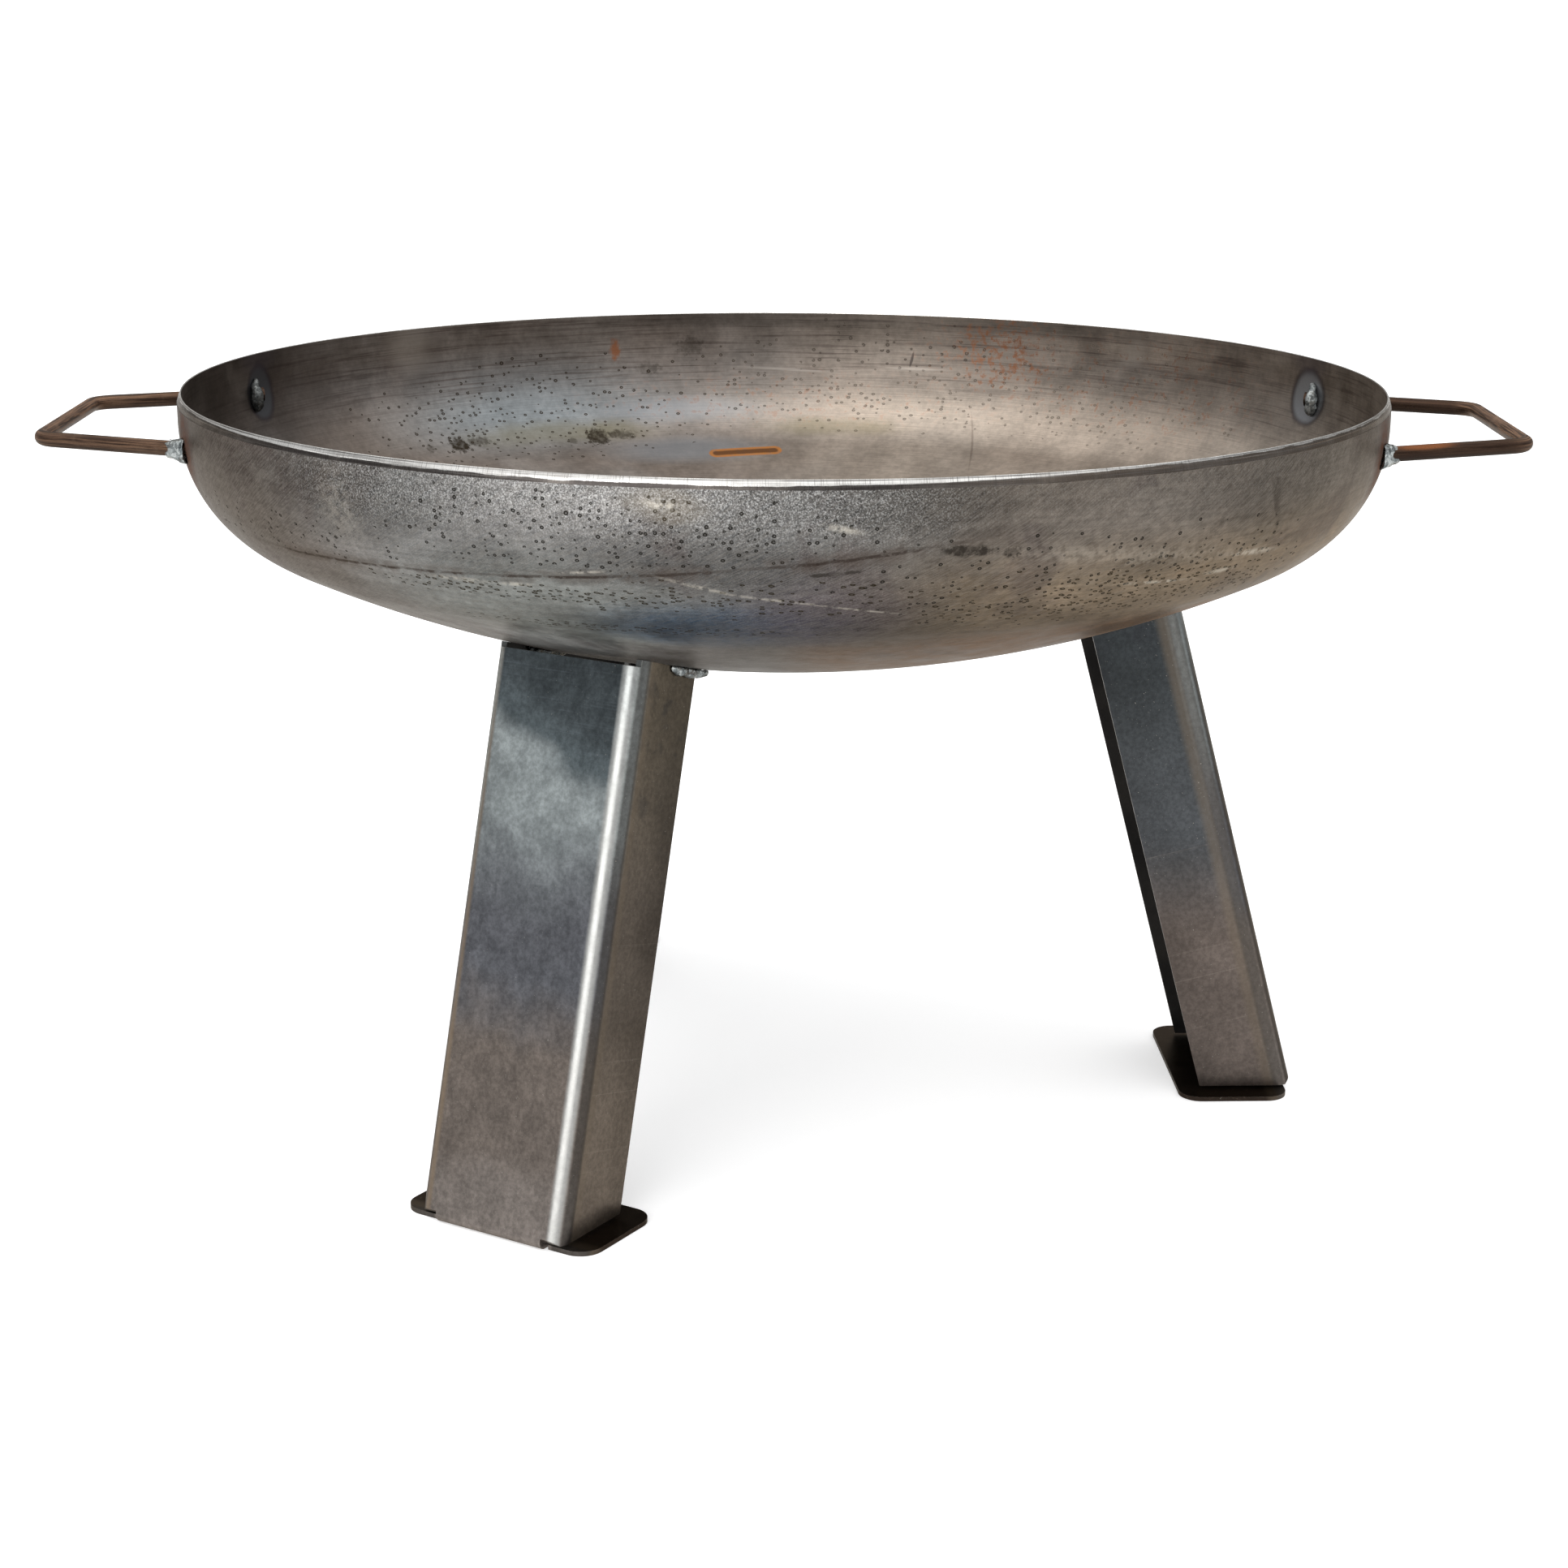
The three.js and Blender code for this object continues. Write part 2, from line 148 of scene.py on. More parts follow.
class Graph:
    """Writes one material's node graph. Every method that makes a node returns its output socket."""

    def __init__(self, name, metallic):
        self.material = bpy.data.materials.new(name)
        self.material.use_nodes = True
        self.tree = self.material.node_tree
        self.tree.nodes.clear()
        self.shader = self.tree.nodes.new("ShaderNodeBsdfPrincipled")
        out = self.tree.nodes.new("ShaderNodeOutputMaterial")
        self.tree.links.new(self.shader.outputs[0], out.inputs[0])
        self.shader.inputs["Metallic"].default_value = metallic
        self.shader.inputs["Specular Tint"].default_value = GRAZING_TINT
        coordinates = self.tree.nodes.new("ShaderNodeTexCoord")
        self.place = coordinates.outputs["Object"]
        split = self.tree.nodes.new("ShaderNodeSeparateXYZ")
        self.tree.links.new(self.place, split.inputs[0])
        self.x, self.y, self.z = split.outputs

    def put(self, socket, value):
        if isinstance(value, bpy.types.NodeSocket):
            self.tree.links.new(value, socket)
        else:
            socket.default_value = value

    def calc(self, operation, *values):
        node = self.tree.nodes.new("ShaderNodeMath")
        node.operation = operation
        for socket, value in zip(node.inputs, values):
            self.put(socket, value)
        return node.outputs[0]

    def add(self, a, b):
        return self.calc("ADD", a, b)

    def sub(self, a, b):
        return self.calc("SUBTRACT", a, b)

    def mul(self, a, *more):
        for b in more:
            a = self.calc("MULTIPLY", a, b)
        return a

    def either(self, a, *more):
        for b in more:
            a = self.calc("MAXIMUM", a, b)
        return a

    def vector(self, x, y, z):
        node = self.tree.nodes.new("ShaderNodeCombineXYZ")
        for socket, value in zip(node.inputs, (x, y, z)):
            self.put(socket, value)
        return node.outputs[0]

    def step(self, value, low, high, to_low=0.0, to_high=1.0):
        """to_low below low, to_high above high, and smooth between; low may be over high."""
        node = self.tree.nodes.new("ShaderNodeMapRange")
        node.interpolation_type = "SMOOTHSTEP"
        for socket, number in zip(node.inputs, (value, low, high, to_low, to_high)):
            self.put(socket, number)
        return node.outputs[0]

    def mix(self, factor, a, b, blend="MIX"):
        node = self.tree.nodes.new("ShaderNodeMix")
        node.data_type = "RGBA"
        node.blend_type = blend
        self.put(node.inputs[0], factor)
        self.put(node.inputs[6], a)
        self.put(node.inputs[7], b)
        return node.outputs[2]

    def over(self, colour, paint, *masks):
        """The colour with a paint over it where all the masks are high."""
        return self.mix(self.mul(*masks), colour, paint)

    def shade(self, colour, gain):
        """The colour times a number that varies over the surface."""
        return self.mix(1.0, colour, self.vector(gain, gain, gain), "MULTIPLY")

    def noise(self, scale, detail, roughness, at=None, distortion=0.0):
        node = self.tree.nodes.new("ShaderNodeTexNoise")
        self.put(node.inputs["Vector"], at or self.place)
        settings = {"Scale": scale, "Detail": detail, "Roughness": roughness, "Distortion": distortion}
        for socket, value in settings.items():
            node.inputs[socket].default_value = value
        return node.outputs[0]

    def cells(self, at):
        """The distance from the nearest cell's point, and two random numbers for that cell."""
        node = self.tree.nodes.new("ShaderNodeTexVoronoi")
        node.voronoi_dimensions = "2D"
        self.put(node.inputs["Vector"], at)
        node.inputs["Scale"].default_value = 1.0
        split = self.tree.nodes.new("ShaderNodeSeparateColor")
        self.tree.links.new(node.outputs["Color"], split.inputs[0])
        return node.outputs["Distance"], split.outputs[0], split.outputs[1]

    def specks(self, u, v, scale, stretch, density, radius):
        """Small pits with dark rims, more of them where density is higher; radius is in cells."""
        at = self.vector(self.mul(u, scale), self.mul(v, scale * stretch), 0.0)
        apart, chance, size = self.cells(at)
        there = self.calc("GREATER_THAN", self.add(chance, density), 1.0)
        size = self.add(self.mul(size, radius), radius * 0.6)
        mask = self.step(apart, size, self.mul(size, 0.72))
        hollow = self.step(apart, self.mul(size, 0.55), self.mul(size, 0.30), 1.0, 0.45)
        return self.mul(mask, hollow, there)

    def bar(self, u, v, u0, v0, half, tilt):
        """The distance from a straight line that reaches `half` metres each way from (u0, v0)."""
        c, s = math.cos(math.radians(tilt)), math.sin(math.radians(tilt))
        du, dv = self.sub(u, u0), self.sub(v, v0)
        along = self.calc("ABSOLUTE", self.add(self.mul(du, c), self.mul(dv, s)))
        past = self.calc("MAXIMUM", self.sub(along, half), 0.0)
        across = self.sub(self.mul(dv, c), self.mul(du, s))
        return self.calc("SQRT", self.add(self.mul(past, past), self.mul(across, across)))

    def mark(self, u, v, shake, u0, v0, length, height, tilt=0.0, ragged=1.0, soft=0.5):
        """The mask of an oval mark, `length` and `height` metres each way, its edge broken up by a noise."""
        node = self.tree.nodes.new("ShaderNodeGroup")
        node.node_tree = MARK
        c, s = math.cos(math.radians(tilt)), math.sin(math.radians(tilt))
        for socket, value in zip(node.inputs, (u, v, shake, u0, v0, length, height, c, s, ragged, soft)):
            self.put(socket, value)
        return node.outputs[0]

    def finish(self, colour, roughness, height, depth):
        """Wires up the shader; a change of 1 in height is relief of that depth in metres."""
        self.put(self.shader.inputs["Base Color"], colour)
        self.put(self.shader.inputs["Roughness"], roughness)
        bump = self.tree.nodes.new("ShaderNodeBump")
        bump.inputs["Strength"].default_value = 1.0
        bump.inputs["Distance"].default_value = depth
        self.put(bump.inputs["Height"], height)
        self.tree.links.new(bump.outputs[0], self.shader.inputs["Normal"])
        return self.material


class BowlGraph(Graph):
    """A graph with the bowl's own coordinates, in metres.

    u runs round the rim. v is the distance from the axis plus the height: 0.887 at the rim, 0.870 at the foot
    of the straight flange, about 0.734 where knuckle and crown meet, and 0.3075 at the centre.
    """

    def __init__(self, name, metallic):
        super().__init__(name, metallic)
        flat = self.vector(self.x, self.y, 0.0)
        length = self.tree.nodes.new("ShaderNodeVectorMath")
        length.operation = "LENGTH"
        self.tree.links.new(flat, length.inputs[0])
        self.radius = length.outputs["Value"]
        self.u = self.mul(self.calc("ARCTAN2", self.y, self.x), RIM_RADIUS)
        self.v = self.add(self.radius, self.z)
        safe = self.calc("MAXIMUM", self.radius, 0.02)
        self.across = (self.calc("DIVIDE", self.x, safe), self.calc("DIVIDE", self.y, safe))

    def rings(self, around, up):
        """Coordinates that change slowly round the bowl and fast up its profile, for turning marks."""
        x, y = (self.mul(part, around) for part in self.across)
        return self.vector(x, y, self.mul(self.v, up))

    def towards(self, azimuth, full, none):
        """1 within `full` degrees of an azimuth, and 0 beyond `none` degrees of it or near the axis."""
        a = math.radians(azimuth)
        facing = self.add(self.mul(self.across[0], math.cos(a)), self.mul(self.across[1], math.sin(a)))
        mask = self.step(facing, math.cos(math.radians(none)), math.cos(math.radians(full)))
        return self.mul(mask, self.step(self.radius, 0.10, 0.30))

    def spot(self, shake, azimuth, v, length, height, **shape):
        """A mark at an azimuth in degrees."""
        return self.mark(self.u, self.v, shake, along_rim(azimuth), v, length, height, **shape)

    def patches(self, colour, shake, spots, **shape):
        """The colour made darker or brighter in soft spots: (azimuth, v, length, height, gain)."""
        for azimuth, v, length, height, gain in spots:
            patch = self.spot(shake, azimuth, v, length, height, soft=0.7, **shape)
            colour = self.shade(colour, self.step(patch, 0.0, 1.0, 1.0, gain))
        return colour


# ---------------------------------------------------------------- materials
#
# A mark is its azimuth, v, length and height, then any tilt and strength or gain, in degrees and metres.


def bowl_outside():
    g = BowlGraph("bowl_outside", 0.92)
    large = g.noise(6.5, 4, 0.55)
    middle = g.noise(34, 5, 0.62)
    small = g.noise(190, 4, 0.65)
    grain = g.noise(1000, 3, 0.75)
    turned = g.noise(1.0, 4, 0.6, at=g.rings(9, 420))
    slant_u = g.add(g.mul(g.u, 45), g.mul(g.v, 60))
    slant_v = g.sub(g.mul(g.v, 1000), g.mul(g.u, 700))
    slanted = g.noise(1.0, 3, 0.6, at=g.vector(slant_u, slant_v, 0.0))

    # Mill scale: brown-grey and blue-grey patches, lighter towards the front left, where a pale patch is
    # partly painted sheen.
    colour = g.mix(g.step(large, 0.36, 0.64), tone(76, 74, 73), tone(97, 97, 96))
    right = g.towards(-10, 61, 82)
    colour = g.over(colour, tone(86, 78, 70), right, 0.8)
    left = g.towards(-178, 33, 60)
    colour = g.over(colour, tone(70, 63, 58), left, 0.75)
    low = g.step(g.v, 0.86, 0.80)
    colour = g.over(colour, tone(107, 93, 76), low, right, 0.85)
    lowest = g.step(g.v, 0.76, 0.70)
    colour = g.over(colour, tone(92, 66, 44), lowest, g.towards(-58, 22, 36), 0.95)
    # A paler patch under the front rim: partly lighter scale, partly a painted sheen of the front left light.
    pale_sheen = g.spot(middle, -103, 0.868, 0.125, 0.040, ragged=1.2, soft=0.8)
    colour = g.over(colour, tone(116, 115, 114), pale_sheen, 0.6)
    teal = g.spot(large, -112, 0.765, 0.095, 0.055, soft=0.7)
    colour = g.over(colour, tone(118, 122, 119), teal, 0.7)
    blue = g.spot(large, -95, 0.752, 0.070, 0.036, soft=0.6)
    colour = g.over(colour, tone(54, 74, 94), blue, 0.85)
    violet = g.spot(large, -86, 0.775, 0.045, 0.050, soft=0.7)
    colour = g.over(colour, tone(80, 70, 78), violet, 0.6)
    # Soft patches made darker or brighter: partly the scale's own tone, partly painted light and shade.
    tone_and_light_patches = (
        (-94, 0.834, 0.080, 0.026, 0.46), (-79, 0.842, 0.060, 0.034, 0.70), (-84, 0.872, 0.085, 0.018, 0.62),
        (-77, 0.760, 0.080, 0.060, 0.80), (-66, 0.786, 0.035, 0.016, 1.22), (-69, 0.830, 0.030, 0.014, 1.25),
        (-57, 0.820, 0.035, 0.014, 0.78), (-127, 0.858, 0.060, 0.020, 0.56),
        (-130, 0.804, 0.060, 0.020, 1.40), (-117, 0.824, 0.040, 0.014, 0.72),
        (-112, 0.690, 0.080, 0.045, 2.30), (-84, 0.755, 0.080, 0.060, 0.64), (-42, 0.862, 0.060, 0.030, 0.72),
    )
    colour = g.patches(colour, large, tone_and_light_patches, ragged=1.2)

    # Darker smudges, and bright grains under the rim: partly scale worn thin, partly painted glints, most on
    # the side that faces the front left light.
    smudge = g.step(g.noise(13, 5, 0.6, distortion=0.6), 0.52, 0.66)
    colour = g.over(colour, tone(56, 48, 47), smudge, g.add(g.mul(left, 0.3), 0.5))
    streaky = g.spot(large, -137, 0.868, 0.095, 0.020, ragged=0.8, soft=0.6)
    colour = g.over(colour, tone(48, 42, 40), streaky, g.step(middle, 0.44, 0.58), 0.75)
    colour = g.shade(colour, g.step(middle, 0.3, 0.7, 0.82, 1.18))
    under_rim = g.step(g.v, 0.835, 0.880)
    glint_area = g.mul(g.add(g.mul(under_rim, 0.75), 0.12), g.add(g.mul(g.towards(-106, 18, 34), 0.85), 0.15))
    glints = g.mul(g.step(grain, 0.50, 0.62), glint_area)
    colour = g.over(colour, tone(172, 172, 170), glints, 0.70)
    colour = g.shade(colour, g.step(g.mul(g.step(grain, 0.50, 0.36), g.add(glint_area, 0.2)), 0.0, 1.0, 1.0, 0.38))
    colour = g.shade(colour, g.step(small, 0.32, 0.68, 0.84, 1.16))
    colour = g.shade(colour, g.step(turned, 0.35, 0.65, 0.88, 1.12))
    brushed = g.mul(g.step(slanted, 0.42, 0.58), g.add(g.mul(g.step(g.v, 0.80, 0.70), 0.5), 0.5))
    colour = g.over(colour, tone(136, 130, 122), brushed, 0.34)

    # Pits: round with a dark edge higher up, long and brown lower down.
    dotted = g.either(
        g.spot(large, -105, 0.849, 0.150, 0.024, ragged=0.8),
        g.mul(g.spot(large, -62, 0.80, 0.17, 0.045), 0.5),
        g.mul(g.spot(large, -140, 0.82, 0.12, 0.020), 0.4),
    )
    dots = g.specks(g.u, g.v, 215, 1.0, g.sub(g.mul(dotted, 0.54), 0.02), 0.22)
    colour = g.over(colour, tone(24, 22, 18), dots)
    band = g.either(
        g.spot(middle, -108, 0.797, 0.135, 0.0090, ragged=0.8),
        g.mul(g.spot(middle, -104, 0.750, 0.105, 0.0075, ragged=0.8), 0.9),
        g.mul(g.spot(large, -58, 0.788, 0.12, 0.030), 0.65),
        g.mul(g.spot(large, -92, 0.800, 0.11, 0.022), 0.3),
    )
    pits = g.specks(g.u, g.add(g.v, g.mul(g.u, 0.12)), 175, 1.6, g.sub(g.mul(band, 0.76), 0.01), 0.26)
    colour = g.over(colour, tone(36, 30, 19), pits)

    # One long scratch round the front, pale smears and dark bruises.
    run = g.sub(g.u, along_rim(-149))
    path = g.add(g.mul(g.mul(run, run), 0.178), 0.802)
    off = g.calc("ABSOLUTE", g.add(g.sub(g.v, path), g.mul(g.sub(middle, 0.5), 0.006)))
    reach = g.mul(g.step(g.u, -1.06, -0.98), g.step(g.u, -0.48, -0.58))
    scratch = g.mul(g.step(off, 0.0020, 0.0006), reach, g.step(middle, 0.42, 0.54, 0.45, 1.0))
    shadow = g.mul(g.step(off, 0.011, 0.002), reach, g.step(middle, 0.42, 0.56))
    colour = g.over(colour, tone(62, 53, 47), shadow, 0.5)
    colour = g.over(colour, tone(44, 37, 33), scratch, g.step(small, 0.30, 0.5), 0.9)
    outline = g.spot(middle, -99.5, 0.872, 0.024, 0.010, tilt=-8, ragged=0.8, soft=0.4)
    colour = g.over(colour, tone(92, 82, 66), outline, 0.3)
    smears = (
        (-99.5, 0.872, 0.011, 0.0030, -8), (-97.0, 0.813, 0.020, 0.0016, -20),
        (-90.5, 0.800, 0.026, 0.0014, -12), (-83.5, 0.788, 0.022, 0.0012, -14),
        (-118.5, 0.804, 0.018, 0.0022, 0), (-113.0, 0.805, 0.010, 0.0020, 5),
        (-106.5, 0.822, 0.014, 0.0012, 8), (-55.5, 0.796, 0.026, 0.0017, -6),
        (-48.0, 0.797, 0.013, 0.0026, 0), (-85.3, 0.859, 0.010, 0.0022, -12),
        (-44.5, 0.812, 0.022, 0.0030, -6),
    )
    for azimuth, v, length, height, tilt in smears:
        smear = g.spot(small, azimuth, v, length, height, tilt=tilt, ragged=1.6, soft=0.7)
        colour = g.over(colour, tone(178, 172, 160), smear, g.step(small, 0.40, 0.60), 0.46)
    cloudy = g.either(
        g.spot(middle, -130, 0.855, 0.012, 0.028, tilt=16, ragged=1.2, soft=0.8),
        g.spot(middle, -58, 0.826, 0.080, 0.006, tilt=-8, ragged=1.2, soft=0.8),
    )
    colour = g.over(colour, tone(170, 162, 150), cloudy, g.step(small, 0.35, 0.6), 0.16)
    bruises = (
        (-75.1, 0.842, 0.0140, 0.0042, -3, 0.9), (-71.3, 0.839, 0.0050, 0.0040, 0, 0.9),
        (-43.5, 0.851, 0.0035, 0.0190, 18, 0.4), (-51.0, 0.842, 0.0045, 0.0080, -30, 0.3),
        (-86.0, 0.826, 0.0160, 0.0016, 7, 0.7),
    )
    broken = g.step(small, 0.60, 0.44, 0.55, 1.0)
    for azimuth, v, length, height, tilt, strength in bruises:
        bruise = g.spot(small, azimuth, v, length, height, tilt=tilt, ragged=1.5, soft=0.35)
        colour = g.over(colour, tone(34, 30, 26), bruise, broken, strength)

    # Rust on the wall beside the handle welds, in a blue-grey halo.
    matt = g.either(dots, pits)
    for azimuth in (-18.5, 18.5, 161.5, -161.5):
        halo = g.spot(middle, azimuth, 0.858, 0.026, 0.030, ragged=0.8)
        colour = g.over(colour, tone(66, 66, 74), halo, 0.3)
        rust = g.spot(middle, azimuth, 0.856, 0.022, 0.028, ragged=1.8, soft=0.6)
        colour = g.over(colour, tone(84, 50, 32), rust, g.step(small, 0.38, 0.60, 0.35, 0.80))
        matt = g.either(matt, rust)

    roughness = g.add(g.step(middle, 0.3, 0.7, 0.38, 0.50), g.mul(matt, 0.2))
    height = g.add(g.mul(grain, 0.6), g.mul(g.noise(430, 3, 0.6), 0.4))
    height = g.add(height, g.mul(g.add(turned, slanted), 0.2))
    height = g.sub(height, g.mul(g.either(dots, pits, scratch), 1.2))
    return g.finish(colour, roughness, height, 0.00008)


def bowl_inside():
    g = BowlGraph("bowl_inside", 0.92)
    large = g.noise(5.5, 4, 0.55)
    middle = g.noise(30, 5, 0.62)
    small = g.noise(210, 4, 0.65)
    grain = g.noise(1100, 3, 0.7)
    turned = g.noise(1.0, 5, 0.62, at=g.rings(4.0, 420))
    fine = g.noise(1.0, 3, 0.6, at=g.rings(12, 1700))

    colour = g.mix(g.step(large, 0.36, 0.64), tone(118, 108, 100), tone(136, 131, 126))
    warm = g.towards(10, 66, 94)
    colour = g.over(colour, tone(147, 136, 124), warm, 0.75)
    blue = g.spot(large, 122, 0.800, 0.10, 0.045, ragged=1.2, soft=0.8)
    colour = g.over(colour, tone(118, 130, 136), blue, 0.6)

    # Dark rings left by turning, strongest under the rim.
    high = g.step(g.v, 0.79, 0.85)
    ringed = g.mul(g.step(turned, 0.50, 0.66), g.add(g.mul(high, 0.75), 0.12))
    colour = g.over(colour, tone(72, 62, 58), ringed, 0.75)
    colour = g.over(colour, tone(96, 86, 80), high, 0.35)
    colour = g.shade(colour, g.step(fine, 0.3, 0.7, 0.88, 1.12))
    colour = g.shade(colour, g.step(middle, 0.3, 0.7, 0.84, 1.16))
    colour = g.shade(colour, g.step(small, 0.32, 0.68, 0.90, 1.10))

    # A darker left end, painted shade; lighter and darker patches, olive and dark stains, and rust.
    # Painted shade: the left end of the inside is darker.
    left = g.mul(g.towards(180, 22, 44), g.step(g.v, 0.62, 0.76))
    colour = g.over(colour, tone(66, 60, 57), left, 0.55)
    # Soft patches made darker or brighter: partly the scale's own tone, partly painted light and shade.
    tone_and_light_patches = (
        (45, 0.873, 0.060, 0.014, 1.45), (77, 0.855, 0.100, 0.016, 0.74), (60, 0.862, 0.045, 0.014, 1.22),
        (78, 0.880, 0.240, 0.009, 0.58), (57, 0.756, 0.060, 0.022, 1.15), (146, 0.850, 0.070, 0.040, 1.22),
    )
    colour = g.patches(colour, large, tone_and_light_patches)
    for v, height, strength in ((0.728, 0.018, 0.6), (0.790, 0.014, 0.5)):
        grey = g.spot(large, 103, v, 0.060, height, soft=0.7)
        colour = g.over(colour, tone(134, 138, 142), grey, strength)
    faded = g.step(g.noise(9, 4, 0.6, distortion=1.0), 0.55, 0.70)
    colour = g.over(colour, tone(150, 142, 134), faded, high, 0.35)
    olives = ((121, 0.768, 0.060, 0.014), (111, 0.762, 0.034, 0.014), (84, 0.765, 0.05, 0.012))
    for azimuth, v, length, height in olives:
        olive = g.spot(middle, azimuth, v, length, height, ragged=1.2, soft=0.7)
        colour = g.over(colour, tone(112, 104, 78), olive, 0.42)
    stains = (
        (130.2, 0.765, 0.0120, 0.0055, 0.65), (133.0, 0.763, 0.0085, 0.0110, 1.0),
        (110.9, 0.758, 0.0130, 0.0070, 0.7), (113.9, 0.757, 0.0100, 0.0120, 0.95),
        (137.5, 0.763, 0.0035, 0.0050, 0.7), (117.5, 0.752, 0.0040, 0.0045, 0.5),
        (101.0, 0.857, 0.0110, 0.0080, 0.45), (106.0, 0.837, 0.0100, 0.0050, 0.4),
    )
    broken = g.step(small, 0.66, 0.40, 0.6, 1.0)
    for azimuth, v, length, height, strength in stains:
        stain = g.spot(small, azimuth, v, length, height, ragged=1.9, soft=0.3)
        colour = g.over(colour, tone(44, 38, 30), stain, broken, strength)
    rusty = g.mul(g.step(small, 0.54, 0.66), g.either(
        g.spot(large, 64, 0.852, 0.060, 0.040, soft=0.6),
        g.mul(g.spot(large, 45, 0.835, 0.12, 0.040, soft=0.6), 0.7),
        g.mul(g.spot(large, 88, 0.80, 0.16, 0.030, soft=0.6), 0.5),
    ))
    colour = g.over(colour, tone(124, 80, 54), rusty, 0.75)
    ruddy = g.mul(g.spot(middle, 64, 0.858, 0.034, 0.024, ragged=1.4, soft=0.7), g.step(small, 0.46, 0.56))
    colour = g.over(colour, tone(128, 84, 58), ruddy, 0.55)

    spread = g.either(
        g.spot(large, 122, 0.790, 0.14, 0.055),
        g.mul(g.spot(large, 70, 0.82, 0.24, 0.050), 0.8),
    )
    dots = g.specks(g.u, g.v, 200, 1.0, g.sub(g.mul(spread, 0.30), 0.01), 0.25)
    pitted = g.mul(dots, g.step(g.u, along_rim(84), along_rim(108), 0.40, 0.95))
    colour = g.over(colour, tone(48, 40, 31), pitted)

    # A long rust mark with a bright orange edge, a rust spot, an upright scratch, a nick and pale smears.
    rust_bar = g.bar(g.u, g.v, along_rim(95.2), 0.7215, 0.027, -5)
    rust_bar = g.add(rust_bar, g.mul(g.sub(small, 0.5), 0.0016))
    outer = g.step(rust_bar, 0.0084, 0.0064)
    inner = g.step(rust_bar, 0.0050, 0.0026)
    colour = g.over(colour, tone(176, 114, 54), outer, g.step(small, 0.30, 0.55, 0.6, 0.9))
    colour = g.over(colour, tone(84, 58, 40), inner, 0.85)
    spot = g.spot(small, 109.8, 0.856, 0.004, 0.008, ragged=2.2)
    colour = g.over(colour, tone(140, 88, 56), spot, 0.8)
    upright = g.spot(small, 65.3, 0.745, 0.0010, 0.040, tilt=-14, ragged=0.6)
    nick = g.spot(small, 75.1, 0.847, 0.0010, 0.007, tilt=10, ragged=0.4, soft=0.3)
    colour = g.over(colour, tone(86, 74, 66), upright, 0.45)
    colour = g.over(colour, tone(56, 50, 48), nick, 0.8)
    smears = (
        (74.5, 0.838, 0.018, 0.0016, 0), (90, 0.835, 0.030, 0.0012, 4),
        (47.5, 0.866, 0.008, 0.010, 30), (136, 0.870, 0.020, 0.016, 40),
    )
    for azimuth, v, length, height, tilt in smears:
        smear = g.spot(small, azimuth, v, length, height, tilt=tilt, ragged=1.4, soft=0.7)
        colour = g.over(colour, tone(188, 180, 170), smear, 0.28)

    # Ovals of heat tint round the handle welds, grey with a dark edge; the left ones are narrower, and darker
    # with painted shade.
    for azimuth in (18.9, -18.9, 161.1, -161.1):
        wide, grey = (1.0, tone(148, 150, 153)) if abs(azimuth) < 90 else (0.78, tone(88, 90, 93))
        edge = g.spot(middle, azimuth, 0.8535, 0.0240 * wide, 0.0235, ragged=0.25, soft=0.12)
        core = g.spot(middle, azimuth, 0.8535, 0.0200 * wide, 0.0200, ragged=0.25, soft=0.16)
        colour = g.over(colour, tone(62, 57, 62), edge, 0.75)
        colour = g.over(colour, grey, core, 0.9)
        rise = g.spot(middle, azimuth, 0.882, 0.022, 0.012, ragged=0.6)
        colour = g.over(colour, tone(82, 76, 84), rise, 0.4)

    roughness = g.add(g.step(middle, 0.3, 0.7, 0.36, 0.46), g.mul(dots, 0.2))
    height = g.add(g.mul(grain, 0.45), g.mul(fine, 0.5))
    height = g.sub(height, g.mul(g.either(dots, nick, g.mul(upright, 0.5)), 1.4))
    return g.finish(colour, roughness, height, 0.00004)


def bowl_rim():
    g = BowlGraph("bowl_rim", 0.95)
    ticks = g.noise(1.0, 3, 0.7, at=g.rings(500, 60))
    drawn = g.noise(1.0, 3, 0.6, at=g.rings(6, 2600))
    middle = g.noise(45, 4, 0.6)
    lower = g.add(g.z, g.mul(g.sub(middle, 0.5), 0.0030))
    wide = g.spot(middle, -108, 0.885, 0.24, 0.02, ragged=0.6)
    lower = g.add(lower, g.mul(wide, 0.0022))
    ground = g.step(lower, RIM_Z - 0.0015, RIM_Z - 0.0009)
    worn = g.mix(g.towards(-14, 45, 70), tone(62, 58, 56), tone(88, 80, 73))
    colour = g.mix(ground, worn, tone(222, 220, 216))
    # A thin dark line just under the top of the rim.
    dark_rim_line = g.mul(g.step(g.z, RIM_Z - 0.0011, RIM_Z - 0.0008), g.step(g.z, RIM_Z - 0.0001, RIM_Z - 0.0004))
    colour = g.over(colour, tone(60, 56, 54), dark_rim_line, g.step(drawn, 0.62, 0.45), 0.8)
    colour = g.over(colour, tone(104, 100, 97), g.step(drawn, 0.50, 0.64), 0.6)
    colour = g.over(colour, tone(70, 66, 64), g.step(ticks, 0.5, 0.66), 0.5)
    colour = g.over(colour, tone(120, 114, 108), g.step(middle, 0.45, 0.7), 0.35)
    roughness = g.step(ticks, 0.3, 0.7, 0.24, 0.40)
    return g.finish(colour, roughness, ticks, 0.00005)


